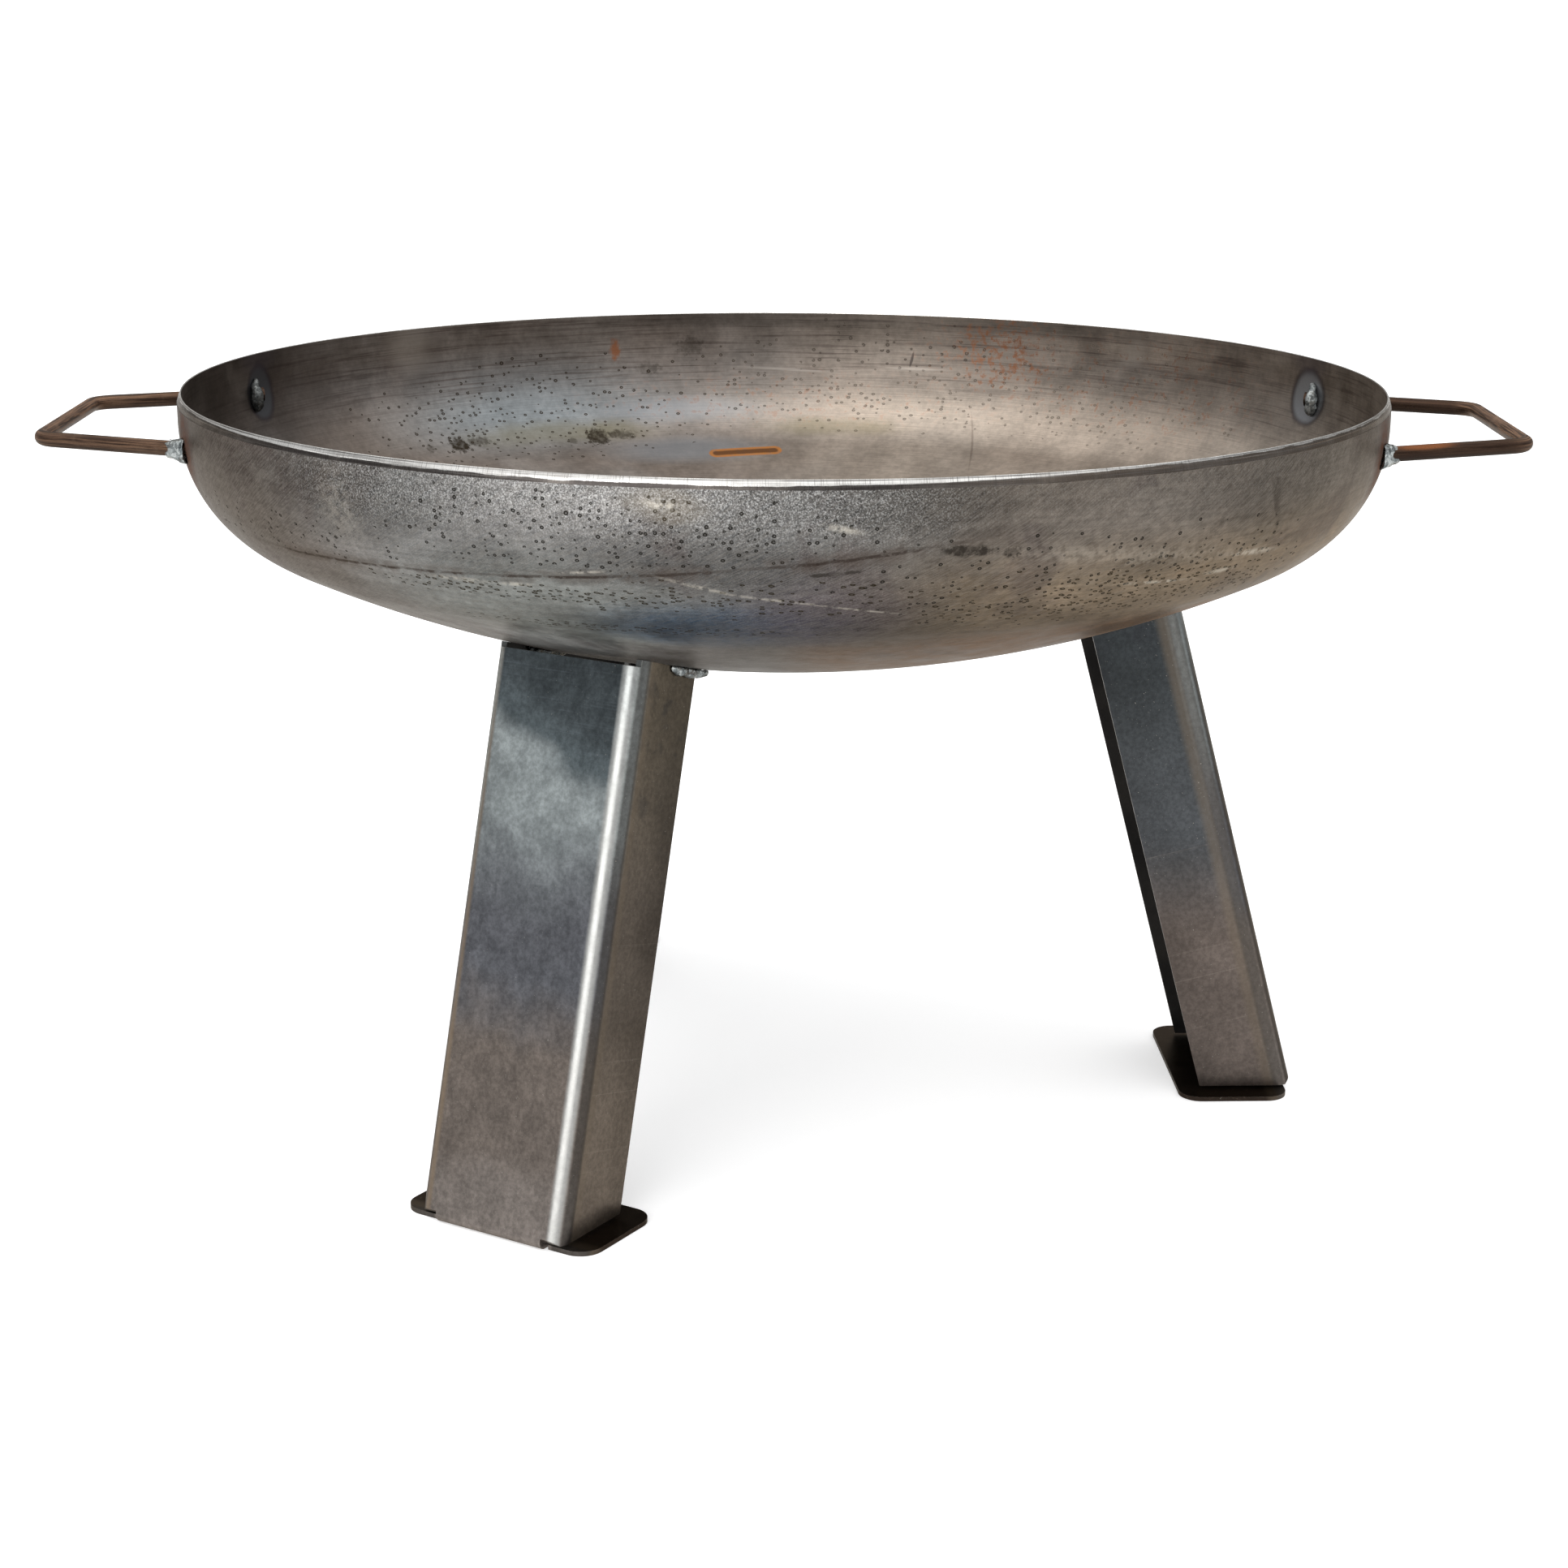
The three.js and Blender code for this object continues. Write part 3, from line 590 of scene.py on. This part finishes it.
def rod_steel(name, orange, arm_shade):
    """Brown rusted bar: streaks along it, darker arms, and an orange patch near one weld."""
    g = Graph(name, 0.75)
    attribute = g.tree.nodes.new("ShaderNodeAttribute")
    attribute.attribute_name = "rod"
    split = g.tree.nodes.new("ShaderNodeSeparateXYZ")
    g.tree.links.new(attribute.outputs["Vector"], split.inputs[0])
    along, side, top = split.outputs
    streak_at = g.vector(g.mul(along, 22), g.mul(side, 900), g.mul(top, 900))
    streaks = g.noise(1.0, 4, 0.65, at=streak_at)
    long_streaks = g.noise(1.0, 3, 0.6, at=g.vector(g.mul(along, 7), g.mul(side, 420), g.mul(top, 420)))
    patches = g.noise(26, 5, 0.62)
    grain = g.noise(1400, 3, 0.7)
    colour = g.mix(g.step(streaks, 0.40, 0.60), tone(46, 33, 26), tone(112, 87, 69))
    colour = g.over(colour, tone(44, 34, 30), g.step(long_streaks, 0.52, 0.64), 0.7)
    colour = g.over(colour, tone(112, 92, 76), g.step(patches, 0.52, 0.66), 0.5)
    arm = g.step(g.calc("ABSOLUTE", along), 0.072, 0.096)
    colour = g.over(colour, tone(40, 27, 20), arm, arm_shade)
    colour = g.shade(colour, g.step(arm, 0.0, 1.0, 1.35, 1.0))
    flame = g.mark(along, top, patches, -0.160, 0.0047, 0.020, 0.0021)
    colour = g.over(colour, tone(150, 88, 46), flame, orange)
    colour = g.shade(colour, g.step(grain, 0.3, 0.7, 0.88, 1.12))
    # Painted shade under the bar and a lighter, painted top.
    colour = g.shade(colour, g.step(top, -0.0045, 0.0035, 0.40, 1.25))
    roughness = g.step(streaks, 0.3, 0.7, 0.38, 0.55)
    height = g.add(g.mul(grain, 0.5), g.mul(streaks, 0.5))
    return g.finish(colour, roughness, height, 0.00006)


def weld_metal(name, gain, metallic=0.95):
    """Rippled grey bead with dark and rusty places."""
    g = Graph(name, metallic)
    ripples = g.noise(230, 3, 0.6, distortion=1.2)
    grain = g.noise(1300, 3, 0.7)
    dark = g.noise(120, 4, 0.65)
    colour = g.mix(g.step(ripples, 0.35, 0.65), tone(84, 89, 90), tone(160, 164, 163))
    colour = g.over(colour, tone(66, 58, 52), g.step(dark, 0.55, 0.66), 0.75)
    colour = g.over(colour, tone(120, 78, 50), g.step(dark, 0.66, 0.74), 0.6)
    colour = g.shade(colour, gain)
    roughness = g.step(ripples, 0.3, 0.7, 0.36, 0.24)
    height = g.add(ripples, g.mul(grain, 0.15))
    return g.finish(colour, roughness, height, 0.0004)


def leg_graph(name, azimuth, metallic=0.9):
    """A graph with a leg's own coordinates in metres: out from the axis, side across the leg, and z."""
    g = Graph(name, metallic)
    turn = math.radians(azimuth)
    g.out = g.add(g.mul(g.x, math.cos(turn)), g.mul(g.y, math.sin(turn)))
    g.side = g.sub(g.mul(g.y, math.cos(turn)), g.mul(g.x, math.sin(turn)))
    return g


# The tones of a leg's flanges, partly painted shade, and the painted reflections on its bends; only the front
# left leg has a bright painted highlight on a bend.
PLAIN_LEG = {
    "brown_ends": (0.11, 0.19), "brown": tone(83, 75, 70),
    "flange_top": tone(35, 38, 40), "flange_mid": tone(60, 62, 64),
    "left_bend_reflection": tone(54, 50, 47), "right_bend_reflection": tone(54, 50, 47), "bend_dark_reflection": tone(66, 62, 58),
}
LIT_BEND_LEG = {
    "brown_ends": (0.03, 0.16), "brown": tone(95, 86, 77),
    "flange_top": tone(76, 68, 57), "flange_mid": tone(76, 69, 62),
    "left_bend_reflection": tone(110, 97, 83), "right_bend_reflection": tone(156, 156, 153), "bend_dark_reflection": tone(50, 47, 44),
}


def leg_outside(name, azimuth, brown_ends, brown, flange_top, flange_mid, left_bend_reflection, right_bend_reflection, bend_dark_reflection):
    """Smooth dark mill scale: blue-grey above, a pale cloud below that, and brown-grey towards the foot.

    The flanges are brown below the two heights in brown_ends and partly painted shade, and the bends carry
    painted reflections.
    """
    g = leg_graph(name, azimuth)
    off_middle = g.calc("ABSOLUTE", g.side)
    large = g.noise(9, 4, 0.5)
    cloud = g.noise(22, 2, 0.4, distortion=0.3)
    middle = g.noise(60, 4, 0.6)
    small = g.noise(320, 4, 0.7)
    grain = g.noise(1500, 2, 0.7)
    drawn = g.noise(1.0, 3, 0.6, at=g.vector(g.mul(g.side, 14), g.mul(g.out, 40), g.mul(g.z, 560)))
    shaken = g.add(g.z, g.mul(g.sub(cloud, 0.5), 0.05))
    slope = g.add(shaken, g.mul(g.side, 0.34))
    colour = g.mix(g.step(shaken, 0.02, 0.06), tone(110, 103, 98), tone(100, 92, 86))
    colour = g.mix(g.step(shaken, 0.105, 0.155), colour, tone(86, 87, 91))
    colour = g.mix(g.step(shaken, 0.185, 0.275), colour, tone(136, 142, 142))
    flat = g.step(off_middle, 0.0465, 0.0435)
    top = g.mul(g.step(slope, 0.276, 0.297), flat)
    blue_grey = g.mix(g.step(slope, 0.295, 0.330), tone(76, 84, 87), tone(56, 62, 65))
    colour = g.over(colour, blue_grey, top, 0.94)
    stroke_at = g.vector(g.mul(g.side, 150), g.mul(g.out, 150), g.mul(g.add(g.z, g.side), 60))
    strokes = g.noise(1.0, 3, 0.6, at=stroke_at)
    colour = g.shade(colour, g.step(strokes, 0.3, 0.7, 0.90, 1.10))
    bands = g.mul(g.step(drawn, 0.50, 0.70), top)
    colour = g.over(colour, tone(90, 97, 102), bands, 0.35)
    colour = g.shade(colour, g.step(large, 0.3, 0.7, 0.92, 1.08))
    colour = g.shade(colour, g.step(middle, 0.3, 0.7, 0.93, 1.07))
    colour = g.shade(colour, g.step(small, 0.3, 0.7, 0.86, 1.14))

    # The flanges are darker and browner than the web, partly their own scale and partly painted shade, and so
    # is the top of the foot plate.
    inwards = g.add(g.out, g.mul(g.z, math.tan(LEG_TILT)))
    flange = g.step(inwards, LEG_GROUND_RADIUS - 0.007, LEG_GROUND_RADIUS - 0.014)
    flange_tone_and_shade = g.mix(g.step(g.z, *brown_ends), brown, flange_mid)
    flange_tone_and_shade = g.mix(g.step(g.z, 0.18, 0.33), flange_tone_and_shade, flange_top)
    flange_tone_and_shade = g.shade(flange_tone_and_shade, g.step(inwards, 0.296, 0.338, 0.86, 1.16))
    soot = g.mul(g.step(g.noise(48, 4, 0.6), 0.52, 0.66), g.step(g.z, 0.16, 0.32))
    flange_tone_and_shade = g.over(flange_tone_and_shade, tone(30, 31, 34), soot, 0.5)
    rule_at = g.vector(0.0, 0.0, g.sub(g.mul(g.z, 260), g.mul(inwards, 60)))
    rules = g.step(g.noise(1.0, 2, 0.6, at=rule_at), 0.60, 0.68)
    rules = g.mul(rules, g.step(g.z, 0.20, 0.14), g.step(g.z, 0.03, 0.06))
    flange_tone_and_shade = g.over(flange_tone_and_shade, tone(170, 160, 148), rules, 0.20)
    flange_tone_and_shade = g.shade(flange_tone_and_shade, g.step(cloud, 0.3, 0.7, 0.86, 1.14))
    flange_tone_and_shade = g.shade(flange_tone_and_shade, g.step(small, 0.3, 0.7, 0.86, 1.14))
    colour = g.over(colour, flange_tone_and_shade, flange, 0.97)
    foot = g.step(g.z, 0.0045, 0.0034)
    plate = g.mix(g.step(small, 0.60, 0.72), tone(44, 36, 31), tone(96, 84, 74))
    colour = g.over(colour, plate, foot, flange)

    # Painted reflections on the bends: a highlight on the web's side of each, then a dark band, then a dim
    # brown highlight.
    bent = g.step(off_middle, 0.0432, 0.0464)
    bend_reflection = g.mix(g.step(g.side, -0.001, 0.001), left_bend_reflection, right_bend_reflection)
    reflection_strength = g.mul(g.step(inwards, 0.3512, 0.3540), g.step(g.z, 0.345, 0.290, 0.55, 0.90))
    colour = g.over(colour, bend_reflection, bent, reflection_strength)
    shaded = g.mul(bent, g.step(inwards, 0.3532, 0.3508), g.step(inwards, 0.3420, 0.3445))
    colour = g.over(colour, bend_dark_reflection, shaded, 0.75)
    colour = g.shade(colour, g.step(small, 0.3, 0.7, 0.94, 1.06))
    # The dim brown painted highlight on the flange's side of each bend.
    worn = g.mul(g.step(off_middle, 0.050, 0.052), g.step(inwards, 0.334, 0.340))
    worn = g.mul(worn, g.step(inwards, 0.346, 0.342))
    colour = g.over(colour, tone(96, 86, 74), worn, 0.45)

    # Fine pale flecks.
    flecks = g.step(g.noise(700, 2, 0.6), 0.70, 0.76)
    colour = g.over(colour, tone(170, 166, 158), flecks, 0.35)
    roughness = g.step(middle, 0.3, 0.7, 0.30, 0.40)
    height = g.add(g.mul(grain, 0.5), g.mul(small, 0.4))
    return g.finish(colour, roughness, height, 0.000025)


def leg_inside_shade(name, azimuth):
    """The channel's inner faces: nearly black with painted shade, on unpolished scale."""
    g = leg_graph(name, azimuth, metallic=0.6)
    cloud = g.noise(24, 4, 0.55)
    small = g.noise(320, 4, 0.7)
    colour = g.mix(g.step(cloud, 0.35, 0.65), tone(25, 24, 24), tone(40, 38, 36))
    colour = g.shade(colour, g.step(small, 0.3, 0.7, 0.9, 1.1))
    roughness = g.step(cloud, 0.3, 0.7, 0.50, 0.62)
    return g.finish(colour, roughness, small, 0.00003)


def leg_edge():
    """Cut edges of the sheet: brighter, with fine lines across the thickness."""
    g = Graph("leg_edge", 0.9)
    lines = g.noise(900, 3, 0.7)
    patches = g.noise(40, 4, 0.6)
    colour = g.mix(g.step(lines, 0.35, 0.65), tone(136, 129, 121), tone(186, 180, 171))
    colour = g.over(colour, tone(92, 80, 70), g.step(patches, 0.5, 0.66), 0.6)
    roughness = g.step(lines, 0.3, 0.7, 0.34, 0.48)
    return g.finish(colour, roughness, lines, 0.00004)


def floor_paint():
    """Pale paint that glows a little, so that the floor shows plain white round a soft shadow."""
    g = Graph("floor_paint", 0.0)
    soft = g.noise(3.0, 3, 0.5)
    colour = g.mix(soft, (0.90, 0.90, 0.90, 1.0), (0.92, 0.92, 0.92, 1.0))
    g.put(g.shader.inputs["Emission Color"], colour)
    g.put(g.shader.inputs["Emission Strength"], 0.45)
    return g.finish(colour, 0.9, soft, 0.00001)


# ---------------------------------------------------------------- meshes


def link(name, data):
    """A new object of that mesh, camera or light, in the scene."""
    piece = bpy.data.objects.new(name, data)
    bpy.context.scene.collection.objects.link(piece)
    return piece


def new_object(name, vertices, faces, materials, slots=None, sharp=30.0):
    """A smooth mesh object from plain lists; `slots` gives each face's material number."""
    mesh = bpy.data.meshes.new(name)
    mesh.from_pydata([tuple(v) for v in vertices], [], [tuple(f) for f in faces])
    for material in materials:
        mesh.materials.append(material)
    if slots is not None:
        mesh.polygons.foreach_set("material_index", slots)
    mesh.validate()
    mesh.shade_smooth()
    mesh.set_sharp_from_angle(angle=math.radians(sharp))
    return link(name, mesh)


def stand_for(piece, node):
    """The piece rides on the one body and hides a CAD node."""
    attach(piece, "root")
    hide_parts(node)


def arc(centre, radius, start, end, steps):
    """Points on a plane arc, both ends included."""
    return [
        (centre[0] + radius * math.cos(a), centre[1] + radius * math.sin(a))
        for a in np.linspace(start, end, steps + 1)
    ]


def lift(place):
    """Smooth noise from 0 to 1."""
    return 0.5 + 0.5 * noise.noise(place)


def dish_skin(offset):
    """(radius, z) from the bowl's lowest point to the top of its knuckle, moved outwards by offset."""
    knee = (RIM_RADIUS - KNUCKLE_RADIUS, RIM_Z - FLANGE_HEIGHT)
    crown = (0.0, knee[1] + math.sqrt((CROWN_RADIUS - KNUCKLE_RADIUS) ** 2 - knee[0] ** 2))
    meet = math.atan2(knee[1] - crown[1], knee[0])
    skin = arc(crown, CROWN_RADIUS + offset, -math.pi / 2, meet, CROWN_STEPS)
    return skin + arc(knee, KNUCKLE_RADIUS + offset, meet, 0.0, KNUCKLE_STEPS)[1:]


def build_bowl(materials):
    """The dish as one closed skin: outside, ground rim and inside. It stays within the CAD rim."""
    r, z = RIM_RADIUS, RIM_Z
    outside = dish_skin(0.0) + [(r, z - 0.0110), (r, z - 0.0056)]
    rim = [
        (r - 0.0002, z - 0.0052), (r - 0.0009, z - 0.0027), (r - 0.0010, z - 0.0025),
        (r - 0.0020, z - 0.0003), (r - 0.0022, z), (r - 0.0027, z), (r - 0.0030, z - 0.0004),
    ]
    inside = [(r - WALL, z - 0.0100)] + dish_skin(-WALL)[::-1]
    profile = outside + rim + inside
    first_rim, last_rim = len(outside) - 1, len(outside) + len(rim) - 1  # these have the rim's material
    segments = BOWL_SEGMENTS
    vertices = [(0.0, 0.0, profile[0][1])]
    turns = [2 * math.pi * k / segments for k in range(segments)]
    for i, (radius, height) in enumerate(profile[1:-1], start=1):
        on_ground_edge = first_rim < i <= first_rim + 2
        for a in turns:
            c, s = math.cos(a), math.sin(a)
            swell = lift(Vector((c * radius, s * radius, height)) * 9.0)
            worn = lift(Vector((c, s, i)) * 14.0) if on_ground_edge else 0.0
            out = radius - BOWL_SWELL * swell - RIM_WEAR * worn
            vertices.append((c * out, s * out, height - RIM_DROP * worn))
    vertices.append((0.0, 0.0, profile[-1][1]))
    rings = len(profile) - 2

    def ring(i, k):
        return 1 + i * segments + k % segments

    faces = [(0, ring(0, k + 1), ring(0, k)) for k in range(segments)]
    slots = [0] * segments
    for i in range(rings - 1):
        slot = 0 if i + 1 < first_rim else 1 if i + 1 < last_rim else 2
        for k in range(segments):
            faces.append((ring(i, k), ring(i, k + 1), ring(i + 1, k + 1), ring(i + 1, k)))
            slots.append(slot)
    last = len(vertices) - 1
    faces += [(last, ring(rings - 1, k), ring(rings - 1, k + 1)) for k in range(segments)]
    slots += [2] * segments
    return new_object("fire_bowl", vertices, faces, materials, slots, sharp=9.0)


def handle_path():
    """Centre line of the +X handle, from its end at -Y round to its end at +Y."""
    tangent = CORNER_RADIUS * math.tan((math.pi / 2 - ARM_SPLAY) / 2)
    centre = (HANDLE_REACH - CORNER_RADIUS, BAR_HALF_WIDTH - tangent)
    end_y = BAR_HALF_WIDTH + (HANDLE_REACH - ROD_END_X) * math.tan(ARM_SPLAY)
    corner = arc(centre, CORNER_RADIUS, math.pi / 2 - ARM_SPLAY, 0.0, CORNER_STEPS)
    arm_x, arm_y = corner[0][0] - ROD_END_X, corner[0][1] - end_y
    steps = np.linspace(0, 1, ARM_STEPS)[1:-1]
    arm = [(ROD_END_X, end_y)] + [(ROD_END_X + t * arm_x, end_y + t * arm_y) for t in steps]
    bar = [(HANDLE_REACH, corner[-1][1] * t) for t in np.linspace(1, 0, BAR_STEPS + 1)[1:]]
    half = arm + corner + bar
    return [(x, -y) for x, y in half] + [(x, y) for x, y in half[::-1][1:]]


def build_handle(name, turn, material):
    """A round bar along the handle's path.

    Its `rod` attribute holds the length along it from its middle, and the offsets sideways and upwards.
    """
    sides = ROD_SIDES
    path = [Vector((x, y, HANDLE_Z)) for x, y in handle_path()]
    run = [0.0]
    for a, b in zip(path, path[1:]):
        run.append(run[-1] + (b - a).length)
    vertices, rod = [], []
    for i, point in enumerate(path):
        ahead = path[min(i + 1, len(path) - 1)] - path[max(i - 1, 0)]
        side = Vector((ahead.y, -ahead.x, 0)).normalized()
        for k in range(sides):
            a = 2 * math.pi * k / sides
            c, s = math.cos(a), math.sin(a)
            radius = ROD_RADIUS * (1 - ROD_LUMP * lift(Vector((run[i] * 40, c * 2, s * 2 + turn))))
            across, up = radius * c, radius * s
            vertices.append(point + side * across + UP * up)
            rod.append((run[i] - run[-1] / 2, across, up))
    spin = Matrix.Rotation(turn, 3, "Z")
    vertices = [spin @ v for v in vertices]
    faces = []
    for i in range(len(path) - 1):
        for k in range(sides):
            n = (k + 1) % sides
            faces.append((i * sides + k, (i + 1) * sides + k, (i + 1) * sides + n, i * sides + n))
    last = (len(path) - 1) * sides
    faces.append(tuple(range(sides)))
    faces.append(tuple(last + k for k in reversed(range(sides))))
    piece = new_object(name, vertices, faces, [material])
    values = piece.data.attributes.new("rod", "FLOAT_VECTOR", "POINT")
    values.data.foreach_set("vector", [c for v in rod for c in v])
    return piece


def cad_copy(node):
    """A bmesh of a CAD node with its split vertices joined again."""
    mesh = bmesh.new()
    mesh.from_mesh(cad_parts[node].data)
    bmesh.ops.remove_doubles(mesh, verts=mesh.verts, dist=1e-6)
    return mesh


def build_leg(name, node, azimuth, materials):
    """The CAD leg with its flat faces whole again, its sheet edges eased, and its faces sorted by side."""
    mesh = cad_copy(node)
    bmesh.ops.dissolve_limit(mesh, angle_limit=math.radians(0.6), verts=mesh.verts, edges=mesh.edges)
    tree = BVHTree.FromBMesh(mesh)
    turn = math.radians(azimuth)
    outwards = Vector((math.cos(turn), math.sin(turn), 0))
    for face in mesh.faces:
        centre, normal = face.calc_center_median(), face.normal
        hit = tree.ray_cast(centre + normal * 1e-4, normal, 0.120)[0]
        facing_in = normal.dot(outwards) < -0.9
        deep = centre.dot(outwards) + centre.z * math.tan(LEG_TILT) < LEG_GROUND_RADIUS - 0.020
        face.material_index = 1 if (hit is not None and centre.z > 0.004) or (facing_in and not deep) else 0
    sharp = [e for e in mesh.edges if len(e.link_faces) == 2 and e.calc_face_angle(0.0) > math.radians(35)]
    bmesh.ops.bevel(
        mesh, geom=sharp, offset=SHEET_EDGE, segments=2, profile=0.5, affect="EDGES", clamp_overlap=True,
        material=2,
    )
    for face in mesh.faces:
        face.smooth = True
    data = bpy.data.meshes.new(name)
    mesh.to_mesh(data)
    mesh.free()
    for material in materials:
        data.materials.append(material)
    data.set_sharp_from_angle(angle=math.radians(32))
    piece = link(name, data)
    weighted = piece.modifiers.new("weighted", "WEIGHTED_NORMAL")
    weighted.keep_sharp = True
    weighted.weight = 80
    return piece


def build_weld(name, node, material, seed, reach=1.0):
    """The CAD weld remeshed fine and pushed about into lumpy metal; reach shortens it outside the bowl."""
    mesh = cad_copy(node)
    data = bpy.data.meshes.new(name)
    mesh.to_mesh(data)
    mesh.free()
    piece = link(name, data)
    remesh = piece.modifiers.new("remesh", "REMESH")
    remesh.mode = "VOXEL"
    remesh.voxel_size = WELD_VOXEL
    melt = piece.modifiers.new("melt", "SMOOTH")
    melt.factor, melt.iterations = 0.5, WELD_MELT_STEPS
    bpy.context.view_layer.update()
    shaped = bpy.data.meshes.new_from_object(piece.evaluated_get(bpy.context.evaluated_depsgraph_get()))
    piece.modifiers.clear()
    piece.data = shaped
    normals = [v.normal.copy() for v in shaped.vertices]
    offset = Vector((seed, 0, 0))
    for vertex, normal in zip(shaped.vertices, normals):
        big = noise.noise(vertex.co * 210 + offset)
        fine = noise.noise(vertex.co * 620 - offset)
        vertex.co += normal * (WELD_LUMP * big + 0.35 * WELD_LUMP * fine)
        out = vertex.co.xy.length
        if out > RIM_RADIUS:
            vertex.co.xy *= (RIM_RADIUS + (out - RIM_RADIUS) * reach) / out
    shaped.materials.clear()
    shaped.materials.append(material)
    shaped.shade_smooth()
    return piece


def build_floor(material):
    """A plain floor, much wider than any view of the object."""
    mesh = bmesh.new()
    bmesh.ops.create_grid(mesh, x_segments=FLOOR_CELLS, y_segments=FLOOR_CELLS, size=FLOOR_SIZE)
    data = bpy.data.meshes.new("floor")
    mesh.to_mesh(data)
    mesh.free()
    data.materials.append(material)
    floor = link("floor", data)
    floor.location.z = FLOOR_Z


# ---------------------------------------------------------------- camera and light


def add_camera():
    """The view from the front, 15 degrees down, with the whole object in a square frame."""
    pan, pitch, roll = CAMERA_PAN, CAMERA_PITCH, CAMERA_ROLL
    ahead = Vector((math.sin(pan) * math.cos(pitch), math.cos(pan) * math.cos(pitch), -math.sin(pitch)))
    level = ahead.cross(UP).normalized()
    above = level.cross(ahead)
    right = level * math.cos(roll) + above * math.sin(roll)
    top = above * math.cos(roll) - level * math.sin(roll)
    data = bpy.data.cameras.new("camera")
    data.sensor_width = CAMERA_SENSOR
    data.lens = CAMERA_LENS
    data.clip_end = CAMERA_RANGE
    camera = link("camera", data)
    aimed = Matrix((right, top, -ahead)).transposed().to_4x4()
    camera.matrix_world = Matrix.Translation(CAMERA_PLACE) @ aimed
    bpy.context.scene.camera = camera


def soft_light(name, at, aim, size, power, colour=(1, 1, 1)):
    """A softbox that faces a point."""
    data = bpy.data.lights.new(name, "AREA")
    data.shape = "RECTANGLE"
    data.size, data.size_y = size
    data.energy = power
    data.color = colour
    light = link(name, data)
    light.location = at
    light.rotation_mode = "QUATERNION"
    light.rotation_quaternion = (Vector(aim) - Vector(at)).to_track_quat("-Z", "Y")


def add_lights():
    """A pale surround, soft light from above, and three softboxes, the strongest at the front left."""
    world = bpy.data.worlds.new("studio")
    bpy.context.scene.world = world
    world.use_nodes = True
    background = world.node_tree.nodes["Background"]
    background.inputs["Color"].default_value = (0.95, 0.97, 1.0, 1.0)
    background.inputs["Strength"].default_value = 0.55
    sky = bpy.data.lights.new("overhead", "SUN")
    sky.energy = 2.3
    sky.angle = math.radians(120)
    link("overhead", sky)
    bowl = (0, 0, 0.42)
    soft_light("front_left_box", (-1.50, -3.05, 1.05), (-0.1, -0.2, 0.30), (2.1, 2.0), 52)
    soft_light("front_right_box", (2.1, -2.7, 0.9), bowl, (1.2, 1.6), 6, (1.0, 0.95, 0.88))
    soft_light("overhead_box", (-0.6, -0.3, 2.95), bowl, (1.7, 1.5), 20, (1.0, 0.97, 0.93))
    scene = bpy.context.scene
    scene.view_settings.view_transform = "Standard"
    scene.view_settings.look = "None"
    scene.view_settings.exposure = 0.0
    scene.view_settings.gamma = 1.0


# ---------------------------------------------------------------- the object


def build_object():
    bowl = build_bowl([bowl_outside(), bowl_rim(), bowl_inside()])
    stand_for(bowl, "bowl")
    # The legs' inner welds are dark: painted shade in the gap under the bowl.
    weld, weld_in_shade = weld_metal("weld_metal", 1.0), weld_metal("dark_weld_metal", 0.12)
    inner_welds = {
        "right": weld_metal("inner_weld_metal", 0.85, metallic=0.55),
        # The left inner welds are darker: painted shade.
        "left": weld_metal("left_inner_weld_shade_metal", 0.45, metallic=0.55),
    }
    # The left handle is paler, and its outer welds stand out further.
    handles = (("right", 0.0, 0.40, 0.85, 0.72), ("left", math.pi, 0.15, 0.38, 0.85))
    for side, turn, orange, arm_shade, reach in handles:
        material = rod_steel(f"rod_{side}", orange, arm_shade)
        handle = build_handle(f"handle_{side}_bar", turn, material)
        stand_for(handle, f"handle_{side}")
        for place in ("front", "rear"):
            for face in ("outer", "inner"):
                node = f"handle_{side}_{place}_weld_{face}"
                metal = weld if face == "outer" else inner_welds[side]
                piece = build_weld(f"{node}_metal", node, metal, seed=len(node) + turn, reach=reach)
                stand_for(piece, node)
    edge = leg_edge()
    for side, azimuth in LEG_AZIMUTHS.items():
        # The front left leg gets the bright painted highlight on its bend.
        leg_tones = LIT_BEND_LEG if side == "front_left" else PLAIN_LEG
        outside = leg_outside(f"leg_{side}_outside", azimuth, **leg_tones)
        materials = [outside, leg_inside_shade(f"leg_{side}_inside", azimuth), edge]
        leg = build_leg(f"leg_{side}_sheet", f"leg_{side}", azimuth, materials)
        stand_for(leg, f"leg_{side}")
        for face in ("outer", "inner"):
            node = f"leg_{side}_weld_{face}"
            piece = build_weld(f"{node}_metal", node, weld if face == "outer" else weld_in_shade, seed=azimuth)
            stand_for(piece, node)


add_camera()
add_lights()
build_floor(floor_paint())
build_object()
